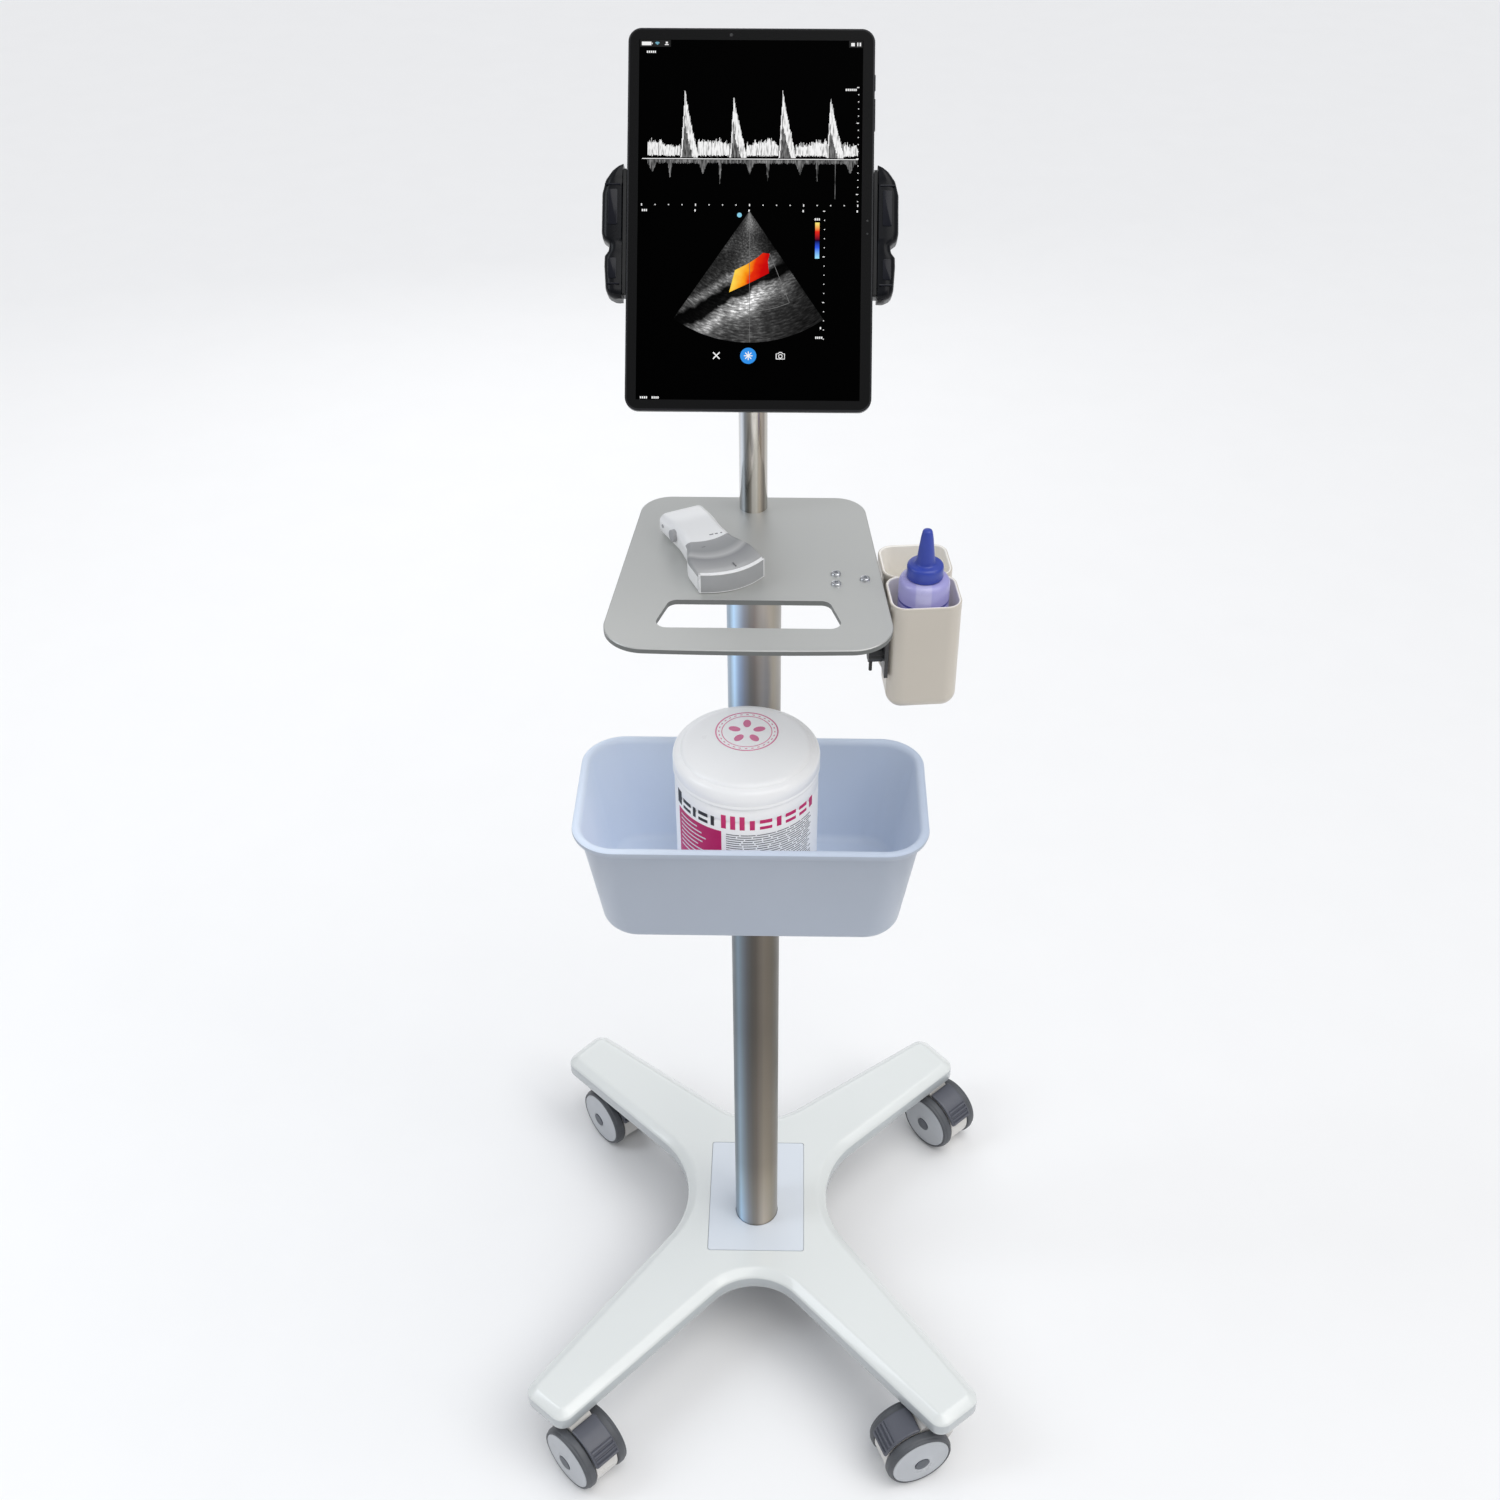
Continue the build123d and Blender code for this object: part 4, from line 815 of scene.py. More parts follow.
def make_casters():
    tyre = [
        (27.6, 13.9), (33.6, 13.8), (35.0, 15.2), (35.0, 21.4), (33.9, 22.6), (33.9, 23.6), (33.0, 25.4),
        (31.2, 25.5), (30.9, 24.0), (27.6, 23.3)]
    disc = [
        (4.2, 14.6), (27.4, 14.6), (27.4, 23.4), (30.75, 23.8), (30.75, 25.4), (28.8, 25.75), (27.6, 25.5),
        (11.5, 27.3), (9.4, 28.0), (8.2, 28.0), (8.2, 26.7), (4.2, 26.6)]
    cap = [(0.0, 26.95), (7.4, 26.95), (7.4, 28.5), (3.2, 28.5), (2.6, 28.15), (0.0, 28.15)]
    treads = both_sides(ring_lathe(tyre, [0.3, 1.2, 1.2, 1.2, 0.5, 0.9, 1.2, 0.3, 0.3, 0.2], 96))
    discs = both_sides(ring_lathe(disc, [0, 0.6, 0, 0.2, 0.5, 0.6, 1.0, 1.4, 0.6, 0.4, 0, 0], 96))
    caps = both_sides(ring_lathe(cap, [0, 0.1, 0.7, 0.3, 0.3, 0], 48))
    boss = prism(circle(9.0, 24), -3.4, 3.4, 0.4, "Y")
    web = prism(arc(37.2, (35, 42, 50, 58, 66, 77)) + arc(8.0, (77, 35)), -3.3, 3.3, 0.4, "Y")
    pedal = joined(loft(pedal_rings()), boss, web)
    for corner in CORNERS:
        centre = place_of(f"roll_{corner}")
        along = axis_of(f"roll_{corner}")
        trail = along.cross(Vector((0, 0, 1)))
        matrix = basis(trail, along, Vector((0, 0, 1)), centre)
        wheels = f"wheels_{corner}"
        piece(f"tread_{corner}", *treads, TYRE, wheels, "tyre_grey", [f"caster_{corner}_tyres"], matrix)
        piece(f"discs_{corner}", *discs, DISC, wheels, "disc_blue", [f"caster_{corner}_hubs"], matrix)
        piece(f"axle_caps_{corner}", *caps, HUB_CAP, f"caster_{corner}", "pedal_grey", (), matrix)
        piece(
            f"brake_pedal_{corner}", *pedal, PEDAL, f"pedal_{corner}", "pedal_grey",
            [f"caster_{corner}_pedal"], matrix)


# ---- bin ----
BIN_LIP, BIN_WALL, BIN_CORNER = 5.5, 2.5, 36.0
BIN_DRAFT_SIDE, BIN_DRAFT_END = 16.0, 7.0
BIN_FLOOR_INSET = -16.0
BIN_BEAD = [
    (8.2, 0.0), (7.6, 0.5), (7.2, 2.2), (6.6, 4.2), (5.2, 5.2), (3.2, 5.5), (1.4, 5.0), (0.4, 3.8),
    (0.0, 2.0), (0.2, 0.2), (1.0, -1.2), (2.6, -2.2), (4.6, -2.5)]
BEAD_OUTSIDE = 6


def quarter(level, radius, inset):
    """Rounded corner from a wall down to the floor, as (height, offset) points."""
    turns = [radians(90 * k / 7) for k in range(8)]
    return [(level + radius * (1 - sin(a)), -inset - radius * (1 - cos(a))) for a in turns]


def make_bin():
    low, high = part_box("bin")
    half, rear, front = high.x / MM, high.y / MM, low.y / MM
    bottom, top = low.z / MM, high.z / MM

    def ring(height, offset):
        fall = (top - height) / (top - bottom)
        hx = half - BIN_LIP - BIN_DRAFT_SIDE * fall + offset
        back = rear - BIN_LIP - BIN_DRAFT_END * fall + offset
        fore = front + BIN_LIP + BIN_DRAFT_END * fall - offset
        radius = max(BIN_CORNER - BIN_LIP + offset, 6.0)
        middle = (0.0, (back + fore) / 2)
        return [(x, y, height) for x, y in rounded_rect(hx, (back - fore) / 2, radius, 14, middle)]

    outside = [(bottom, BIN_FLOOR_INSET)] + quarter(bottom, 9, 0.0)[::-1]
    bead = [(top - down, out) for down, out in BIN_BEAD]
    inner = quarter(bottom + BIN_WALL, 7, BIN_WALL) + [(bottom + BIN_WALL, BIN_FLOOR_INSET)]
    rings = [ring(height, offset) for height, offset in outside + bead + inner]
    vertices, faces = loft(rings)
    # The inside faces, from part way round the rim bead, take the lit copy of the blue: painted light.
    inside = (len(outside) + BEAD_OUTSIDE) * len(rings[0])
    last = len(faces) - 1
    indices = [int(inside <= i < last - 1 or i == last) for i in range(len(faces))]
    piece(
        "storage_bin", vertices, faces, [BIN, BIN_INSIDE_LIT], "stand", "bin_blue", ["bin"], smooth=50.0,
        indices=indices)


# ---- gel bottle ----
def centre_of(node):
    low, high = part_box(node)
    return (low + high) / 2


BOTTLE_WIDTH = 0.038
NECK_TALL = 9.0
PRINT_LINE = (0.0838, 0.0856)


def bottle_streaks(tree, colour):
    """Paler and deeper upright bands down the bottle, across its width, and the printed line round it."""
    x, y, z = object_axes(tree)
    lilac, pale, deep = (0.38, 0.36, 0.70), (0.55, 0.53, 0.80), (0.40, 0.38, 0.72)
    streak = ramp(
        tree, x * (1 / BOTTLE_WIDTH) + 0.5, [(0.0, lilac), (0.30, deep), (0.33, pale), (0.60, pale),
        (0.63, deep), (1.0, lilac)])
    line = (z > PRINT_LINE[0]) * (z < PRINT_LINE[1])
    return mix(tree, line, mix(tree, 0.75, colour, streak), (0.05, 0.055, 0.33))


BOTTLE = surface(
    "bottle_lavender", (0.38, 0.36, 0.70), rough=0.3, coat=0.2, tint=0.03, tint_scale=30.0, grain=0.03,
    recolour=bottle_streaks)


def make_bottle():
    low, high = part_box("gel_bottle")
    cap_low, cap_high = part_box("gel_bottle_cap")
    spot = centre_of("gel_bottle")
    height = (high.z - low.z) / MM
    shoulder = height - NECK_TALL
    r = (high.x - low.x) / MM / 2
    body = [
        (0, 0.8), (9, 0.8), (13, 0.0), (15, 0.1), (17.6, 1.0), (r - 0.1, 3.4), (r, 6.0), (r, shoulder - 5.0),
        (r - 0.25, shoulder - 3.4), (r - 1.2, shoulder - 1.6), (r - 3.0, shoulder - 0.5), (r - 6.0, shoulder),
        (9.0, shoulder), (9.0, height), (7.0, height), (7.0, 6.0), (0, 6.0)]
    matrix = Matrix.Translation(Vector((spot.x, spot.y, low.z)))
    piece("bottle_body", *lathe(body, 80), BOTTLE, "gel_bottle", "bottle_lavender", ["gel_bottle"], matrix)
    base = (cap_low.z - low.z) / MM
    tall = (cap_high.z - low.z) / MM
    skirt = [
        (13.0, 0.0), (13.4, 0.5), (13.4, 8.2), (13.1, 9.6), (12.2, 10.6), (11.0, 11.0), (8.4, 11.1),
        (7.5, 11.6), (7.05, 12.6), (6.6, 15.0)]
    nozzle = [(4.6, tall - 6.5), (3.7, tall - 1.6), (3.2, tall - 0.5), (2.2, tall), (0, tall), (0, tall - 2)]
    under_side = [(7.0, base + 9.9), (9.4, base + 9.7), (9.4, base), (13.0, base)]
    cap = [(radius, base + up) for radius, up in skirt] + nozzle + under_side
    piece(
        "bottle_cap", *lathe(cap, 80), CAP_BLUE, "gel_cap", "cap_blue", ["gel_bottle_cap"], matrix,
        smooth=40.0)


# ---- wipes tub ----
PRINT_BLACK = surface("print_black", (0.02, 0.02, 0.022), rough=0.4, grain=0.03)
PRINT_MAGENTA = surface(
    "print_magenta", (0.66, 0.012, 0.155), rough=0.4, tint=0.04, tint_scale=40.0, grain=0.03)
PRINT_GREY = surface("print_grey", (0.17, 0.17, 0.175), rough=0.5, tint=0.2, tint_scale=300.0, grain=0.03)
PRINT_PINK = surface("print_pink", (0.75, 0.22, 0.38), rough=0.45, tint=0.1, tint_scale=90.0, grain=0.03)
PRINT_WHITE = surface("print_white", (0.88, 0.86, 0.87), rough=0.4, grain=0.03)


TUB_RADIUS = 58.0
STAMP_Y = 17.0
RIM_TALL = 6.0
LABEL_DOWN = 5.0
LETTER_SHAPES = {"tall": [(15.5, 2.0)], "low": [(15.5, 6.0)], "split": [(15.5, 12.6), (9.4, 6.0)]}
DARK_LETTERS = [
    (-69, -62, "tall"), (-59, -49, "split"), (-46, -43, "low"), (-40, -31, "split"), (-28, -25, "low")]
PINK_LETTERS = [
    (-19, -15, "tall"), (-11.5, -7.5, "tall"), (-4, 0, "tall"), (4, 8, "low"), (12, 22, "split"),
    (26, 30, "low"), (34, 44, "split"), (48, 57, "split"), (61, 66, "low")]


def wrap(x0, x1, z0, z1, thick=0.12):
    """Patch printed on the tub, between two arc lengths from its front line and two heights."""
    steps = max(int(abs(x1 - x0) / 2.5), 1)
    outer, inner = TUB_RADIUS + thick, TUB_RADIUS - 0.2
    rings = []
    for k in range(steps + 1):
        turn = (x0 + (x1 - x0) * k / steps) / TUB_RADIUS
        s, c = sin(turn), -cos(turn)
        rings.append([(r * s, r * c, z) for r, z in ((outer, z0), (outer, z1), (inner, z1), (inner, z0))])
    return loft(rings)


def letters(rows, label):
    """Plain blocks in the place of a line of lettering."""
    blocks = [
        wrap(x0, x1, label - down, label - up) for x0, x1, kind in rows for down, up in LETTER_SHAPES[kind]]
    return joined(*blocks)


def make_label(label, matrix):
    def stick(name, part, material):
        piece(name, *part, material, "wipes_tub", "tub_white", (), matrix)

    stick("label_magenta_block", wrap(-67, -19, 40, label - 19), PRINT_MAGENTA)
    stick("label_title_dark", letters(DARK_LETTERS, label), PRINT_BLACK)
    stick("label_title_magenta", letters(PINK_LETTERS, label), PRINT_MAGENTA)
    rows = random.Random(11)
    lines = []
    for row in range(20):
        z = label - 21.5 - row * 2.3
        left = -15.0
        while left < 60:
            width = min(rows.uniform(6, 16), 64 - left)
            lines.append(wrap(left, left + width, z, z + 0.8))
            left += width + 1.3
    stick("label_small_lines", joined(*lines), PRINT_GREY)
    bars = []
    for k in range(8):
        z = label - 4.4 * k
        bars.append(wrap(-63, -63 + rows.uniform(18, 32), z - 24.5, z - 23.2, 0.2))
    stick("label_block_lines", joined(*bars), PRINT_WHITE)


def make_stamp():
    """Two rings, a ring of dashes and five petals."""
    stamp = [washer(24.4, 25.5, 0.12, 72), washer(19.8, 20.5, 0.12, 72)]
    for k in range(28):
        turn = Matrix.Rotation(tau * k / 28, 3, "Z")
        stamp.append(moved(bar(-1.0, 1.0, -0.4, 0.4, 0.0, 0.12), tuple(turn @ Vector((0, 22.5, 0))), turn))
    petal = prism([(3.2 * x, 10.5 + 5.0 * y) for x, y in circle(1.0, 16)], 0.0, 0.12)
    for k in range(5):
        stamp.append(moved(petal, (0, 0, 0), Matrix.Rotation(tau * k / 5, 3, "Z")))
    return joined(*stamp)


def make_tub():
    low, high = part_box("wipes_tub")
    lid_low, lid_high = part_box("wipes_tub_lid")
    spot = centre_of("wipes_tub")
    matrix = Matrix.Translation(Vector((spot.x, spot.y, low.z)))
    tall = (high.z - low.z) / MM
    rim = tall - RIM_TALL
    r = TUB_RADIUS
    body = [
        (0, 1.2), (50, 1.2), (51.5, 0.0), (54.5, 0.0), (57.2, 1.2), (r, 4.5), (r, rim - 15.0),
        (r - 0.5, rim - 14.4), (r - 0.6, rim - 13.0), (r - 0.1, rim - 12.2), (r, rim - 11.5), (r, rim - 1.0),
        (r - 0.7, rim - 0.1), (r - 3, rim), (r - 3, tall), (r - 5, tall), (r - 5, 4.0), (0, 4.0)]
    piece(
        "tub_body", *lathe(body, 128), TUB_WHITE, "wipes_tub", "tub_white", ["wipes_tub"], matrix,
        smooth=45.0)
    base = (lid_low.z - low.z) / MM
    top = (lid_high.z - low.z) / MM
    skirt = [
        (-2.6, 0), (0.6, 0), (1, 0.5), (1, 2.2), (0.5, 2.9), (0.5, 3.6), (0.9, 4.3), (1, 11.4), (0.5, 13.6),
        (-0.9, 15.4), (-3.0, 16.4), (-4.6, 16.65), (-5.3, 16.8)]
    crown = [
        (r - 6.2, top - 1.2), (r - 8.0, top - 0.35), (r - 11, top), (0, top), (0, top - 9),
        (r - 2.6, top - 9)]
    lid = [(r + out, base + up) for out, up in skirt] + crown + [(r - 2.6, base)]
    piece(
        "tub_lid", *lathe(lid, 128), TUB_WHITE, "wipes_lid", "tub_white", ["wipes_tub_lid"], matrix,
        smooth=45.0)
    make_label(rim - LABEL_DOWN, matrix)
    stamp_matrix = matrix @ Matrix.Translation(Vector((0, STAMP_Y, top - 0.02)) * MM)
    piece("lid_stamp", *make_stamp(), PRINT_PINK, "wipes_lid", "tub_white", (), stamp_matrix)


# ---- probe ----
PROBE_PLACE = (-56.0, -31.0)
PROBE_END = 91.3
PROBE_BULGE = 7.5
NOSE_DEPTH = 3.0
NOSE_HALF = 26.3
NOSE_STRIP_HALF = 26.0
HEAD_START = 0.0565
SEAM_HALF = 0.0005
WIDTHS = [(0, 15.0), (1.5, 17.6), (4, 18.7), (38, 17.4), (52, 18.8), (76, 26.1), (PROBE_END, NOSE_HALF)]
HEIGHTS = [(0, 11.5), (1.5, 14.8), (4, 17.0), (26, 19.6), (58, 18.4), (76, 17.0), (PROBE_END, 16.2)]


def smooth_between(stops, t):
    for (t0, v0), (t1, v1) in zip(stops, stops[1:]):
        if t <= t1:
            u = min(max((t - t0) / (t1 - t0), 0.0), 1.0)
            u = u * u * (3 - 2 * u)
            return v0 + (v1 - v0) * u
    return stops[-1][1]


def probe_zones(tree, colour):
    """Grey window over the probe's head, with a painted highlight band across it, and a pale outline along
    its rear edge.
    """
    x, y, z = object_axes(tree)
    along = x * x * 16.0 - y
    on_top = z > y * 0.055 + 0.0178
    zone = (along > HEAD_START) * on_top
    edge = (abs(along - HEAD_START) < SEAM_HALF) * on_top
    # The lighter stop at 0.66 is a painted highlight along the scoop of the head.
    grey = ramp(tree, along * 10.0 - 0.1, [
        (0.46, (0.36, 0.36, 0.365)), (0.60, (0.30, 0.305, 0.31)), (0.66, 0.46), (0.70, (0.26, 0.262, 0.27)),
        (0.90, 0.40)])
    return mix(tree, edge, mix(tree, zone, colour, grey), (0.85, 0.85, 0.85))


# Painted light: a faint glow of the probe's white.
PROBE_WHITE = surface(
    "probe_white", (0.88, 0.88, 0.88), rough=0.3, coat=0.2, tint=0.006, tint_scale=30.0, grain=0.03,
    rough_vary=0.02, painted_glow=0.10, recolour=probe_zones)
LENS_GREY = surface("lens_grey", (0.40, 0.405, 0.41), rough=0.5, tint=0.04, tint_scale=60.0, grain=0.08)
# Painted light: a faint glow of the white outline.
OUTLINE_WHITE = surface("outline_white", (0.88, 0.88, 0.88), rough=0.35, grain=0.03, painted_glow=0.05)


def probe_section(s, front_bulge, shrink=0.0):
    """Section of the probe at a distance from its rear end; near the head it is bowed and scooped."""
    half = smooth_between(WIDTHS, s) - shrink
    height = smooth_between(HEIGHTS, s) - 2 * shrink
    radius = smooth_between([(0, 6.0), (50, 6.0), (78, 2.6), (PROBE_END, 1.6)], s)
    scoop = smooth_between([(0, 0), (58, 0), (74, 1.3), (84, 1.1), (PROBE_END, 0.0)], s)
    ring = rounded_rect(half, height / 2, radius, 6)
    dense = []
    for i, (ax, az) in enumerate(ring):
        bx, bz = ring[(i + 1) % len(ring)]
        parts = 12 if abs(bx - ax) > 10 else 1
        for k in range(parts):
            x = ax + (bx - ax) * k / parts
            z = az + (bz - az) * k / parts
            u = min(abs(x) / max(half, 0.01), 1.0)
            sunk = scoop * (1 - u ** 4) if z > height / 2 - 0.3 else 0.0
            dense.append((x, -(s + front_bulge * (1 - u * u)), z + height / 2 + shrink - sunk))
    return dense


def nose_front(x):
    return -(PROBE_END + PROBE_BULGE * (1 - (x / NOSE_HALF) ** 2))


def nose_strip(low, high, out, back):
    """Upright band along the bowed front of the probe, between two heights."""
    rings = []
    for k in range(41):
        x = NOSE_STRIP_HALF * (k / 20 - 1)
        front = nose_front(x)
        rings.append(
            [(x, front + back, low), (x, front - out + 0.3, low), (x, front - out, low + 0.3),
            (x, front - out, high - 0.3), (x, front - out + 0.3, high), (x, front + back, high)])
    return loft(rings)


def make_probe():
    turn = axis_of("probe_button_press")
    low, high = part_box("probe_housing")
    side = Vector((-turn.y, turn.x, 0))
    matrix = basis(turn, side, Vector((0, 0, 1)), Vector((PROBE_PLACE[0] * MM, PROBE_PLACE[1] * MM, low.z)))

    def show(name, part, material, slot, replaces=(), smooth=35.0):
        piece(name, *part, material, "probe", slot, replaces, matrix, smooth)

    stations = [0, 0.6, 1.5, 2.6, 4] + [8 + 4.0 * k for k in range(20)] + [87.5, 89.6, PROBE_END]
    rings = [
        probe_section(s, PROBE_BULGE * smooth_between([(0, 0), (44, 0), (PROBE_END, 1)],
        s)) for s in stations]
    rings.append(probe_section(PROBE_END - 1.5, PROBE_BULGE, 2.0))
    show("probe_body", loft(rings), PROBE_WHITE, "probe_white", ["probe_housing"], 50.0)
    top = smooth_between(HEIGHTS, PROBE_END)
    show(
        "probe_nose", nose_strip(0.7, top - 0.5, NOSE_DEPTH, 1.0), LENS_GREY, "lens_grey", ["probe_lens"],
        30.0)
    outline = [nose_strip(z, z + tall, NOSE_DEPTH + 0.12, 0.2) for z, tall in ((top - 1.0, 0.9), (0.3, 0.8))]
    for x in (-25.7, 25.7):
        front = nose_front(x) - NOSE_DEPTH - 0.1
        outline.append(bar(x - 0.45, x + 0.45, front, front + NOSE_DEPTH, 0.3, top - 0.1))
    show("probe_outline", joined(*outline), OUTLINE_WHITE, "probe_white", smooth=30.0)
    marks = [
        moved(washer(1.9, 2.8, 0.35, 40), (-8.5, -61.0, 17.75)), moved(bar(-0.35, 0.35, -1.2, 1.2, 0.0, 0.35),
        (-8.5, -60.6, 17.75)), moved(bar(-0.3, 0.3, -3.0, 3.0, 0.0, 0.3), (3.0, -92.5, 16.0))]
    for k in range(3):
        marks.append(moved(bar(0, 3.2 - k, -0.5, 0.4, 0.0, 0.2), (2.0 + 4.4 * k, -50.5 - 0.4 * k, 18.55)))
    show("probe_marks", joined(*marks), PRINT_GREY, "button_grey")
    dimple = lathe([(0, 0), (1.3, 0), (1.5, -0.25), (1.2, -0.6), (0, -0.6)], 24, "X")
    show("probe_side_dot", moved(dimple, (-18.6, -10.0, 10.0)), BUTTON_GREY, "button_grey")


# ---- tablet ----
def tilted():
    """Frame of the leaned tablet: X right, Y out of its back, Z up along it, origin on the tilt hinge."""
    back = axis_of("tablet_rotate")
    up = axis_of("tablet_lift_out")
    return basis(Vector((1, 0, 0)), back, up, place_of("tablet_tilt"))


GLASS_FACE = 40.0
BACK_FACE = GLASS_FACE - 6.5
SCREEN_BOX = (-75.3, 74.7, -120.9, 120.2)
SCREEN_LIFT = GLASS_FACE + 0.06
WHITE_LIGHT = glow("screen_white", (0.92, 0.92, 0.92))
GREY_LIGHT = glow("screen_grey", (0.16, 0.16, 0.16))
DIM_LIGHT = glow("screen_dim", (0.02, 0.02, 0.02))
BLUE_LIGHT = glow("screen_blue", (0.035, 0.29, 0.83))
CYAN_LIGHT = glow("screen_cyan", (0.25, 0.62, 0.8))


def flat(points, lift):
    """Flat patch on the screen through (x, z) points."""
    return [(x, -(SCREEN_LIFT + lift), z) for x, z in points], [list(range(len(points)))]


def quad(x0, x1, z0, z1, lift=0.0):
    return flat([(x0, z0), (x1, z0), (x1, z1), (x0, z1)], lift)


def disc(x, z, radius, steps=20):
    return flat(circle(radius, steps, (x, z)), 0.0)


def speckled(low, dark, high):
    """Streaky speckle along the scan lines of the picture."""

    def recolour(tree, colour):
        streaks = noise(tree, 1.0, 3.0, (900.0, 1.0, 140.0))
        return multiply(tree, colour, ramp(tree, streaks, [(low, dark), (high, 1.0)]))

    return recolour


TRACE = glow("screen_trace", (0.95, 0.95, 0.95), speckled(0.3, 0.25, 0.52))
ECHO = glow("screen_echo", (0.30, 0.30, 0.30), speckled(0.38, 0.1, 0.7))
BASELINE = 40.5
TRACE_START, TRACE_END, TRACE_STEP = -69.0, 71.5, 0.4
PEAKS = ((-44.5, 86.7), (-11.7, 82.0), (21.1, 86.7), (53.2, 82.0))
RISE, FALL = 2.6, 8.8
DIPS = (
    (-66, 8, 2.2), (-54, 13, 1.0), (-32, 9, 2.2), (-20.5, 17, 0.7), (-0.5, 9, 2.0), (11.5, 15, 0.8),
    (33, 9, 2.2), (44.5, 15, 0.7), (66.5, 9, 2.2))


def make_trace():
    """Flow trace: a noisy band above the baseline with one steep peak per beat, and faint echoes below."""
    rand = random.Random(5)
    bright, faint = [], []
    x, level = TRACE_START, 51.0
    while x < TRACE_END:
        after = x + TRACE_STEP
        level += rand.uniform(-0.8, 0.8) + (50.5 + 2.2 * sin(x * 0.16) - level) * 0.25
        top, bottom = level, BASELINE + 1.6 + rand.uniform(0.0, 1.2)
        for peak_x, peak_z in PEAKS:
            along = x - peak_x
            if -RISE <= along < 0.0:
                top = BASELINE + (peak_z - BASELINE) * (1 + along / RISE) ** 1.2 + rand.uniform(-1, 1)
                bottom = max(top - 15.0, BASELINE + 1.0)
                faint.append(quad(x, after, BASELINE + 1.0, bottom, 0.01))
            elif 0.0 <= along < FALL:
                t = along / FALL
                top = peak_z - (peak_z - BASELINE - 3.5) * (t ** 0.85) + rand.uniform(-1.0, 0.8)
                bottom = max(top - (20.0 - 9.0 * t) - rand.uniform(0, 2.5), BASELINE + 0.8)
                faint.append(quad(x, after, BASELINE + 1.0, bottom, 0.01))
        bright.append(quad(x, after, bottom, top, 0.02))
        if rand.random() < 0.45:
            bright.append(quad(x, x + TRACE_STEP * 0.8, top, top + rand.uniform(0.4, 2.4), 0.02))
        dip = 1.6 + rand.uniform(0, 1.2)
        for centre, deep, wide in DIPS:
            dip = max(dip, deep * max(0.0, 1 - abs(x - centre) / (wide * 1.6)) + rand.uniform(0, 1.0))
        faint.append(quad(x, after, BASELINE - 0.6 - dip, BASELINE - 0.6, 0.01))
        x += TRACE_STEP
    faint.append(quad(56.6, 57.0, 14.0, BASELINE - 1, 0.02))
    return joined(*bright), joined(*faint)


def sector_shade(tree, colour):
    """Grey speckle of the scan: bright tissue bands either side of a dark vessel that slants across."""
    x, y, z = object_axes(tree)
    dx, dz = x + 0.0003, 0.0057 - z
    squares = dx * dx + dz * dz
    radius = squares.math("SQRT", squares)
    angle = dx.math("ARCTAN2", dx, dz)
    polar = new_node(tree, "ShaderNodeCombineXYZ")
    plug(tree, angle * 16.0, polar.inputs[0])
    plug(tree, radius * 800.0, polar.inputs[1])
    speckle = new_node(tree, "ShaderNodeTexNoise", Scale=1.0, Detail=4.0, Roughness=0.65)
    link(tree, polar.outputs[0], speckle.inputs["Vector"])
    bent = z + x * -0.52 + (noise(tree, 60.0, 4.0) - 0.5) * 0.018
    bands = ramp(tree, bent * 10.0 + 1.0, [
        (0.12, 0.05), (0.30, 0.085), (0.38, 0.15), (0.46, 0.62), (0.50, 0.30), (0.525, 0.008),
        (0.60, 0.004), (0.62, 0.22), (0.66, 0.60), (0.71, 0.10), (0.84, 0.12), (0.95, 0.34)])
    middle = ramp(tree, abs(angle), [(0.10, 1.25), (0.36, 0.55), (0.60, 0.22)])
    cloudy = ramp(tree, noise(tree, 28.0, 3.0), [(0.36, 0.35), (0.62, 1.5)])
    contrast = ramp(tree, speckle.outputs["Fac"], [(0.30, 0.15), (0.52, 0.65), (0.72, 2.0)])
    return multiply(tree, multiply(tree, multiply(tree, bands, middle), cloudy), contrast)


def flow_shade(tree, colour):
    """Yellow to red across the coloured patch of the scan."""
    x, y, z = object_axes(tree)
    wavy = x + z * -0.35 + noise(tree, 220.0, 2.0) * 0.006
    return ramp(tree, wavy * 34.0 - 0.19, [
        (0.0, (1.0, 0.70, 0.09)), (0.26, (0.95, 0.34, 0.01)), (0.40, (0.78, 0.03, 0.004)),
        (0.60, (0.58, 0.003, 0.003)), (1.0, (0.36, 0.001, 0.003))])


SCALE_BOX = (43.8, 46.7, -25.8, -1.7)
SCALE_TALL = (SCALE_BOX[3] - SCALE_BOX[2]) * MM


def scale_shade(tree, colour):
    """Colours of the flow scale, from blue below to yellow above."""
    x, y, z = object_axes(tree)
    return ramp(
        tree, (z - SCALE_BOX[2] * MM) * (1 / SCALE_TALL), [(0.0, (0.35, 0.8, 1.0)), (0.3, (0.03, 0.1, 0.8)),
        (0.5, (0.005, 0.0, 0.02)), (0.75, (0.8, 0.02, 0.01)), (1.0, (1.0, 0.85, 0.2))])


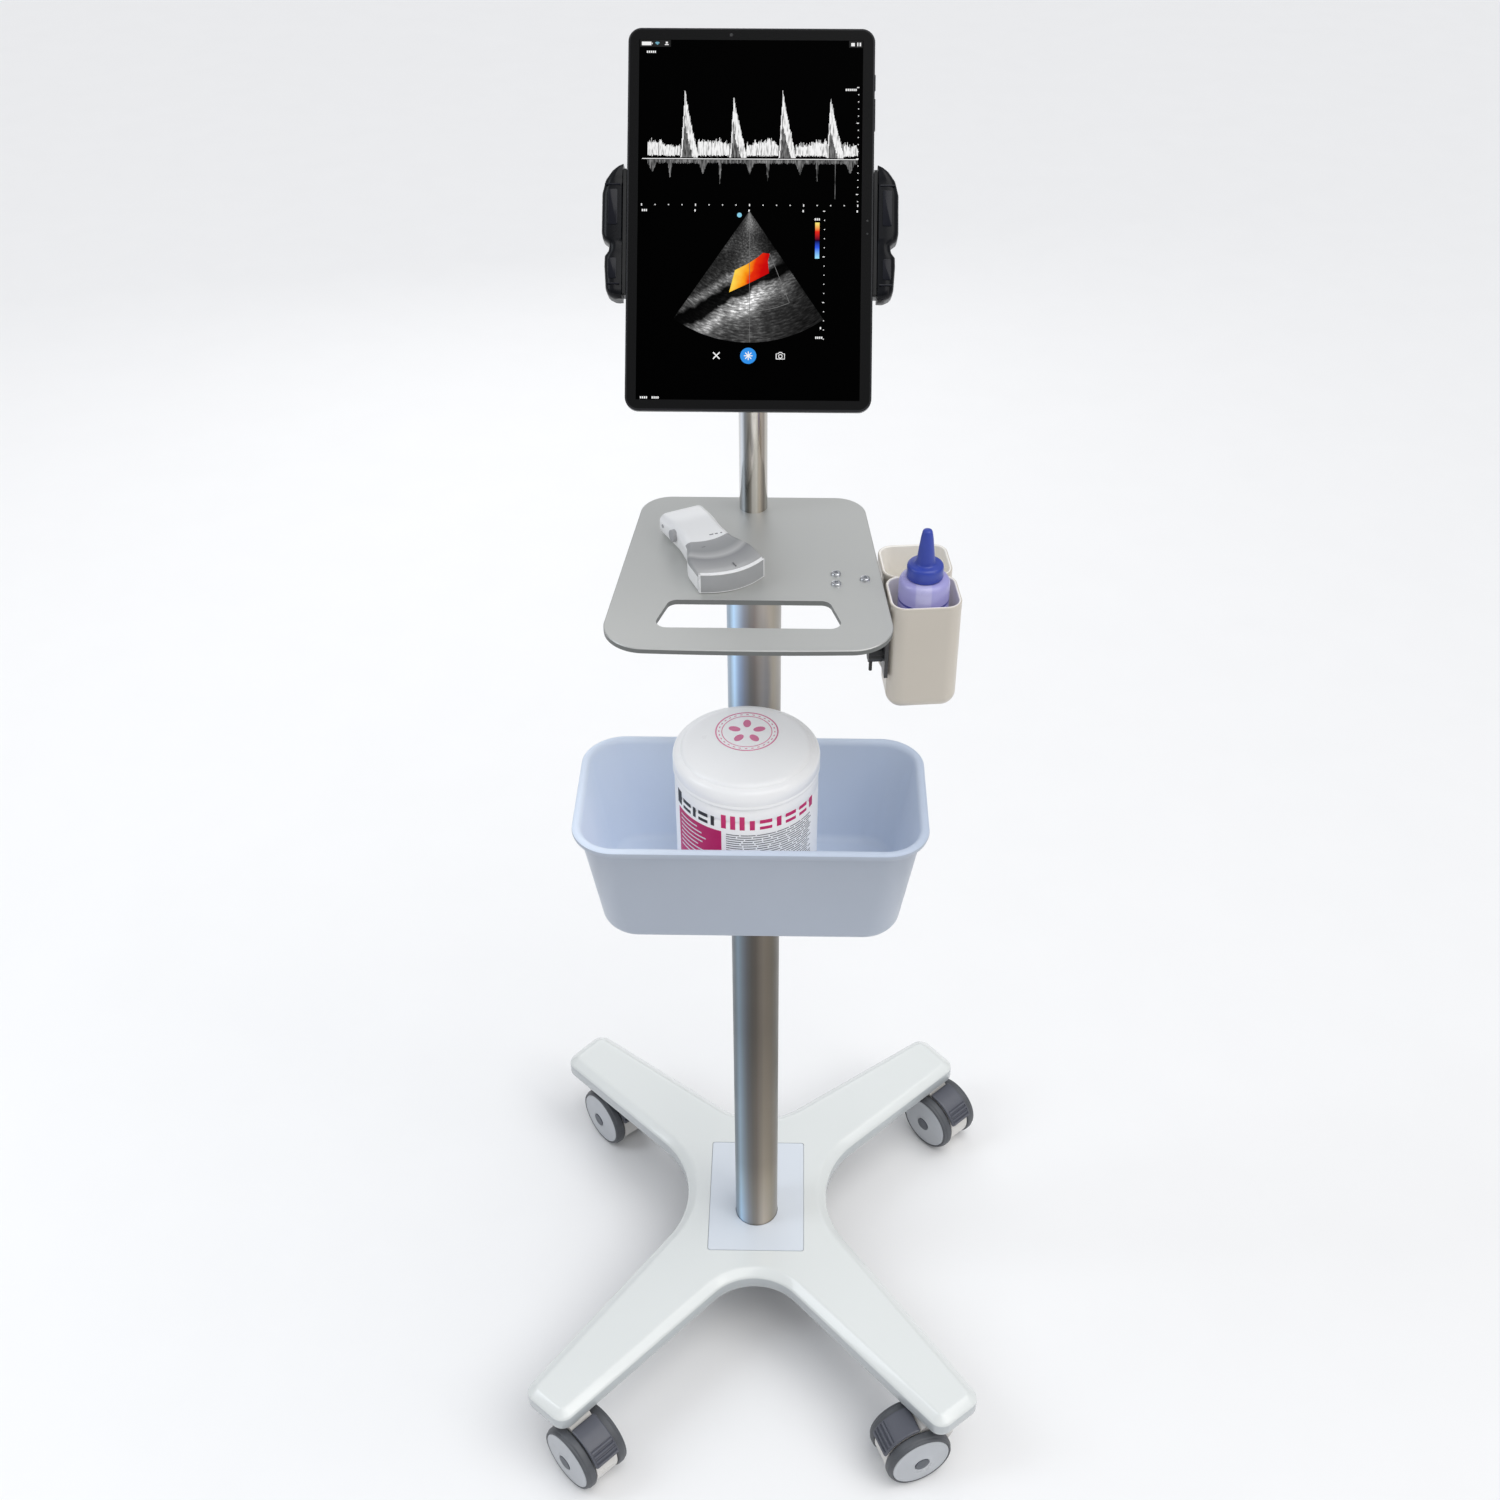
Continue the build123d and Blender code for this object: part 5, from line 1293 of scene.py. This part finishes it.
SECTOR = glow("screen_sector", (0.3, 0.3, 0.3), sector_shade)
FLOW = glow("screen_flow", (0.9, 0.2, 0.05), flow_shade)
FLOW_SCALE = glow("screen_flow_scale", (0.9, 0.2, 0.05), scale_shade)
WORDS = (
    (-72.5, 5.9, 4.0), (-37.2, 5.9, 1.6), (-1.0, 5.9, 1.6), (35.2, 5.9, 1.6), (71.4, 5.9, 1.0),
    (63.2, 87.2, 8.4), (43.4, 0.4, 4.2), (47.6, -72.4, 2.4), (44.6, -78.8, 6.0), (-70.2, 112.0, 7.6),
    (-72.4, -119.6, 6.2), (-64.6, -119.6, 6.4))
STATUS_ICONS = (
    (-73.6, -67.2, 116.4, 118.8), (-66.9, -66.3, 117.2, 118.0), (-58.2, -55.6, 116.6, 117.2),
    (-57.6, -56.2, 117.6, 118.8), (66.6, 69.0, 116.4, 118.6), (70.6, 71.4, 116.4, 118.8),
    (72.2, 73.2, 116.4, 118.8))
APEX = (-0.3, 5.7)
SCAN_REACH = 88.0
SCAN_HALF = radians(34.8)
FLOW_OUTLINE = (
    (-13.4, -48.8), (-9.6, -33.9), (-1.0, -29.6), (5.6, -25.2), (9.0, -22.2), (13.6, -22.8), (12.4, -27.6),
    (13.2, -35.8), (2.0, -41.6))
CAMERA_ICON = (
    (18.6, -93.2), (18.6, -89.7), (20.0, -89.7), (20.6, -88.8), (22.2, -88.8), (22.8, -89.7), (24.2, -89.7),
    (24.2, -93.2), (18.6, -93.2))
CLOSE_X, FREEZE_X, BUTTON_Z = -21.5, -0.1, -91.2


def scan_marks():
    """Baseline, tick rulers and the short rows of blocks that stand for words."""
    marks = [quad(-72.7, 72.0, BASELINE - 0.25, BASELINE + 0.25, 0.03)]
    for k in range(17):
        x = -72.7 + 9.05 * k
        half = 0.75 if k % 4 == 0 else 0.35
        marks.append(quad(x - 0.35, x + 0.35, 9.7 - half, 9.7 + half))
    for count, x, start, pitch, long, short in (
            (17, 72.3, 88.8, 4.77, 1.5, 0.65), (15, 50.3, 5.9, 6.11, 1.3, 0.6)):
        for k in range(count):
            z = start - pitch * k
            marks.append(quad(x - (long if k % 5 == 0 else short), x, z - 0.3, z + 0.3))
    for x, z, width in WORDS:
        for k in range(max(int(width / 1.3), 1)):
            marks.append(quad(x + 1.3 * k, x + 1.3 * k + 0.85, z - 0.7, z + 0.75))
    return joined(*marks)


def from_apex(reach, first, last, steps):
    """Points on an arc round the scan's apex."""
    turns = [first + (last - first) * k / steps for k in range(steps + 1)]
    return [(APEX[0] + reach * sin(a), APEX[1] - reach * cos(a)) for a in turns]


def make_screen():
    matrix = tilted()

    def show(name, part, material):
        piece(name, *part, material, "tablet", "screen_glass", (), matrix)

    show("display_area", quad(*SCREEN_BOX, -0.03), SCREEN_BLACK)
    bright, faint = make_trace()
    show("flow_trace", bright, TRACE)
    show("flow_echo", faint, ECHO)
    show("screen_marks", scan_marks(), WHITE_LIGHT)
    show("status_shade", joined(quad(-74.7, -54.2, 115.4, 120.0), quad(65.2, 74.2, 115.4, 120.0)), DIM_LIGHT)
    show("status_icons", joined(*[quad(*box, 0.02) for box in STATUS_ICONS]), WHITE_LIGHT)
    fan = []
    for radius in (0.5, 1.2, 1.9):
        curve = [(x - 63.2, z + 116.6) for x, z in arc(radius, range(135, 44, -15))]
        fan.append(strip(curve, 0.22, SCREEN_LIFT + 0.02))
    show("status_signal", joined(*fan), CYAN_LIGHT)
    points, _ = flat([APEX] + from_apex(SCAN_REACH, -SCAN_HALF, SCAN_HALF, 48), 0.01)
    show("scan_sector", (points, [[0, k, k + 1] for k in range(1, 49)]), SECTOR)
    show("flow_colour", flat(FLOW_OUTLINE, 0.03), FLOW)
    gate = from_apex(67.0, radians(24.0), radians(-18.0), 12)
    lines = [([(-0.3, 5.0), (0.6, -82.2)], 0.16), ([(13.4, -22.4), (27.0, -55.4)], 0.2), (gate, 0.2)]
    show("scan_lines", joined(*[strip(line, half, SCREEN_LIFT + 0.04) for line, half in lines]), GREY_LIGHT)
    show("flow_scale", quad(*SCALE_BOX, 0.01), FLOW_SCALE)
    show("probe_dot", disc(-7.0, 3.0, 1.6), CYAN_LIGHT)
    show("freeze_button", disc(FREEZE_X, BUTTON_Z, 5.4, 40), BLUE_LIGHT)
    star = []
    for x, z in arc(2.9, (0, 45, 90, 135)):
        star.append(
            strip([(FREEZE_X - x, BUTTON_Z - z), (FREEZE_X + x, BUTTON_Z + z)], 0.32, SCREEN_LIFT + 0.03))
    for rise in (-2.2, 2.2):
        star.append(
            strip([(CLOSE_X - 2.2, BUTTON_Z - rise), (CLOSE_X + 2.2, BUTTON_Z + rise)], 0.4, SCREEN_LIFT))
    show("screen_icons", joined(*star), WHITE_LIGHT)
    ring = circle(1.2, 16, (21.4, -91.4), closed=True)
    camera = joined(strip(CAMERA_ICON, 0.28, SCREEN_LIFT), strip(ring, 0.25, SCREEN_LIFT))
    show("screen_camera_icon", camera, WHITE_LIGHT)
    sensors = [disc(-13.7, 123.6, 1.1), disc(78.7, -0.3, 0.7), disc(78.7, -9.0, 0.7)]
    piece("bezel_sensors", *joined(*sensors), LENS_DARK, "tablet", "tablet_black", (), matrix)


def make_tablet_back():
    """Camera plate, speaker slots and port on the tablet."""
    matrix = tilted()

    def show(name, part, material):
        piece(name, *part, material, "tablet", "tablet_black", (), matrix)

    plate = prism(rounded_rect(9.0, 16.0, 6.0, 6, (58.0, 104.0)), 0.0, 0.9, 0.3, "Y")
    show("camera_plate", moved(plate, (0, -BACK_FACE + 0.9, 0)), TABLET_BLACK)
    lenses = []
    for z, r in ((111.0, 4.2), (98.5, 3.2)):
        profile = [(0.0, 0.0), (r, 0.0), (r, 0.55), (r - 0.8, 0.55), (r - 1.2, 0.3), (0.0, 0.2)]
        lenses.append(moved(ring_lathe(profile, [0, 0, 0.2, 0.2, 0.2, 0], 36), (58.0, -BACK_FACE + 0.85, z)))
    show("camera_lenses", joined(*lenses), LENS_DARK)
    middle = -BACK_FACE - 3.1
    slots = [rounded_rect(4.4, 1.3, 1.3, 5, (0, middle))]
    for side in (-1, 1):
        slots += [rounded_rect(1.5, 0.6, 0.6, 3, (side * (24 + 4.2 * k), middle)) for k in range(6)]
    show("speaker_slots", joined(*[prism(slot, -128.3, -128.0) for slot in slots]), LENS_DARK)


# ---- jaws ----
JAW_INNER = 85.3
JAW_FOOT, JAW_CROWN = -52.6, 37.8
JAW_STATIONS = 60
JAW_REACH = [
    (-52.6, 91.0), (-50.6, 95.0), (-46.0, 96.8), (-30.0, 97.8), (-24.0, 97.6), (-20.5, 94.8), (-16.0, 94.4),
    (-13.0, 98.8), (-8.0, 99.8), (18.0, 99.6), (27.0, 97.4), (33.5, 92.6), (36.6, 88.4), (37.8, 85.8)]


def jaw_reach(z):
    """How far the jaw stands out beside the tablet at each height."""
    for (z0, v0), (z1, v1) in zip(JAW_REACH, JAW_REACH[1:]):
        if z <= z1:
            return v0 + (v1 - v0) * (z - z0) / (z1 - z0)
    return JAW_REACH[-1][1]


def jaw_ring(z):
    """Section of the jaw's grip at a height, flatter on the side that meets the tablet."""
    swell = sqrt(max(min((z - JAW_FOOT) / 4.0, (JAW_CROWN - z) / 8.0, 1.0), 0.0))
    front = -(GLASS_FACE + 0.4) + 3.5 * (1 - swell)
    back = -20.9 - 2.5 * (1 - swell)
    half = max((jaw_reach(z) - JAW_INNER) / 2, 0.25)
    middle = (JAW_INNER + half, (front + back) / 2)
    ring = []
    for x, y in rounded_rect(half, (back - front) / 2, min(5.5, half * 0.98), 5, middle):
        if x < JAW_INNER + half * 0.6:
            x = JAW_INNER + max(x - JAW_INNER, 0.0) * 0.25
        ring.append((x, y, z))
    return ring


def make_jaws():
    matrix = tilted()
    grip = loft(
        [jaw_ring(JAW_FOOT + (JAW_CROWN - JAW_FOOT) * k / JAW_STATIONS) for k in range(JAW_STATIONS + 1)])
    shelf = bar(80.9, 86.5, -49.0, 34.0, 20.9, 32.9, 1.2, "Y")
    arms = [bar(24.0, 84.0, level - 7.0, level + 7.0, 25.1, 30.1, 0.5, "Y") for level in (20.0, -32.0)]
    body = joined(grip, shelf, *arms)
    panels = []
    for low, high, wide in ((-4.0, 20.0, 3.2), (-40.0, -26.0, 2.8)):
        outline = rounded_rect(wide, (high - low) / 2, 1.2, 4, (92.0, (high + low) / 2))
        panels.append(prism(outline, GLASS_FACE - 1.0, GLASS_FACE + 0.9, 0.35, "Y"))
    for end, low in ((95.6, -44.0), (97.4, 22.6)):
        panels.append(bar(87.0, end, low, low + 1.2, GLASS_FACE - 1.0, GLASS_FACE + 0.8, 0.2, "Y"))
    panels = joined(*panels)
    for name in ("right", "left"):
        piece(
            f"jaw_body_{name}", *body, JAW_BLACK, f"jaw_{name}", "jaw_black", [f"jaw_{name}"], matrix,
            smooth=40.0)
        piece(f"jaw_panels_{name}", *panels, JAW_PANEL, f"jaw_{name}", "jaw_black", (), matrix)
        body, panels = mirrored(body, 0), mirrored(panels, 0)


make_stage()
make_light()
dress_cad_nodes()
make_base_shell()
make_casters()
make_bin()
make_bottle()
make_tub()
make_probe()
make_screen()
make_tablet_back()
make_jaws()
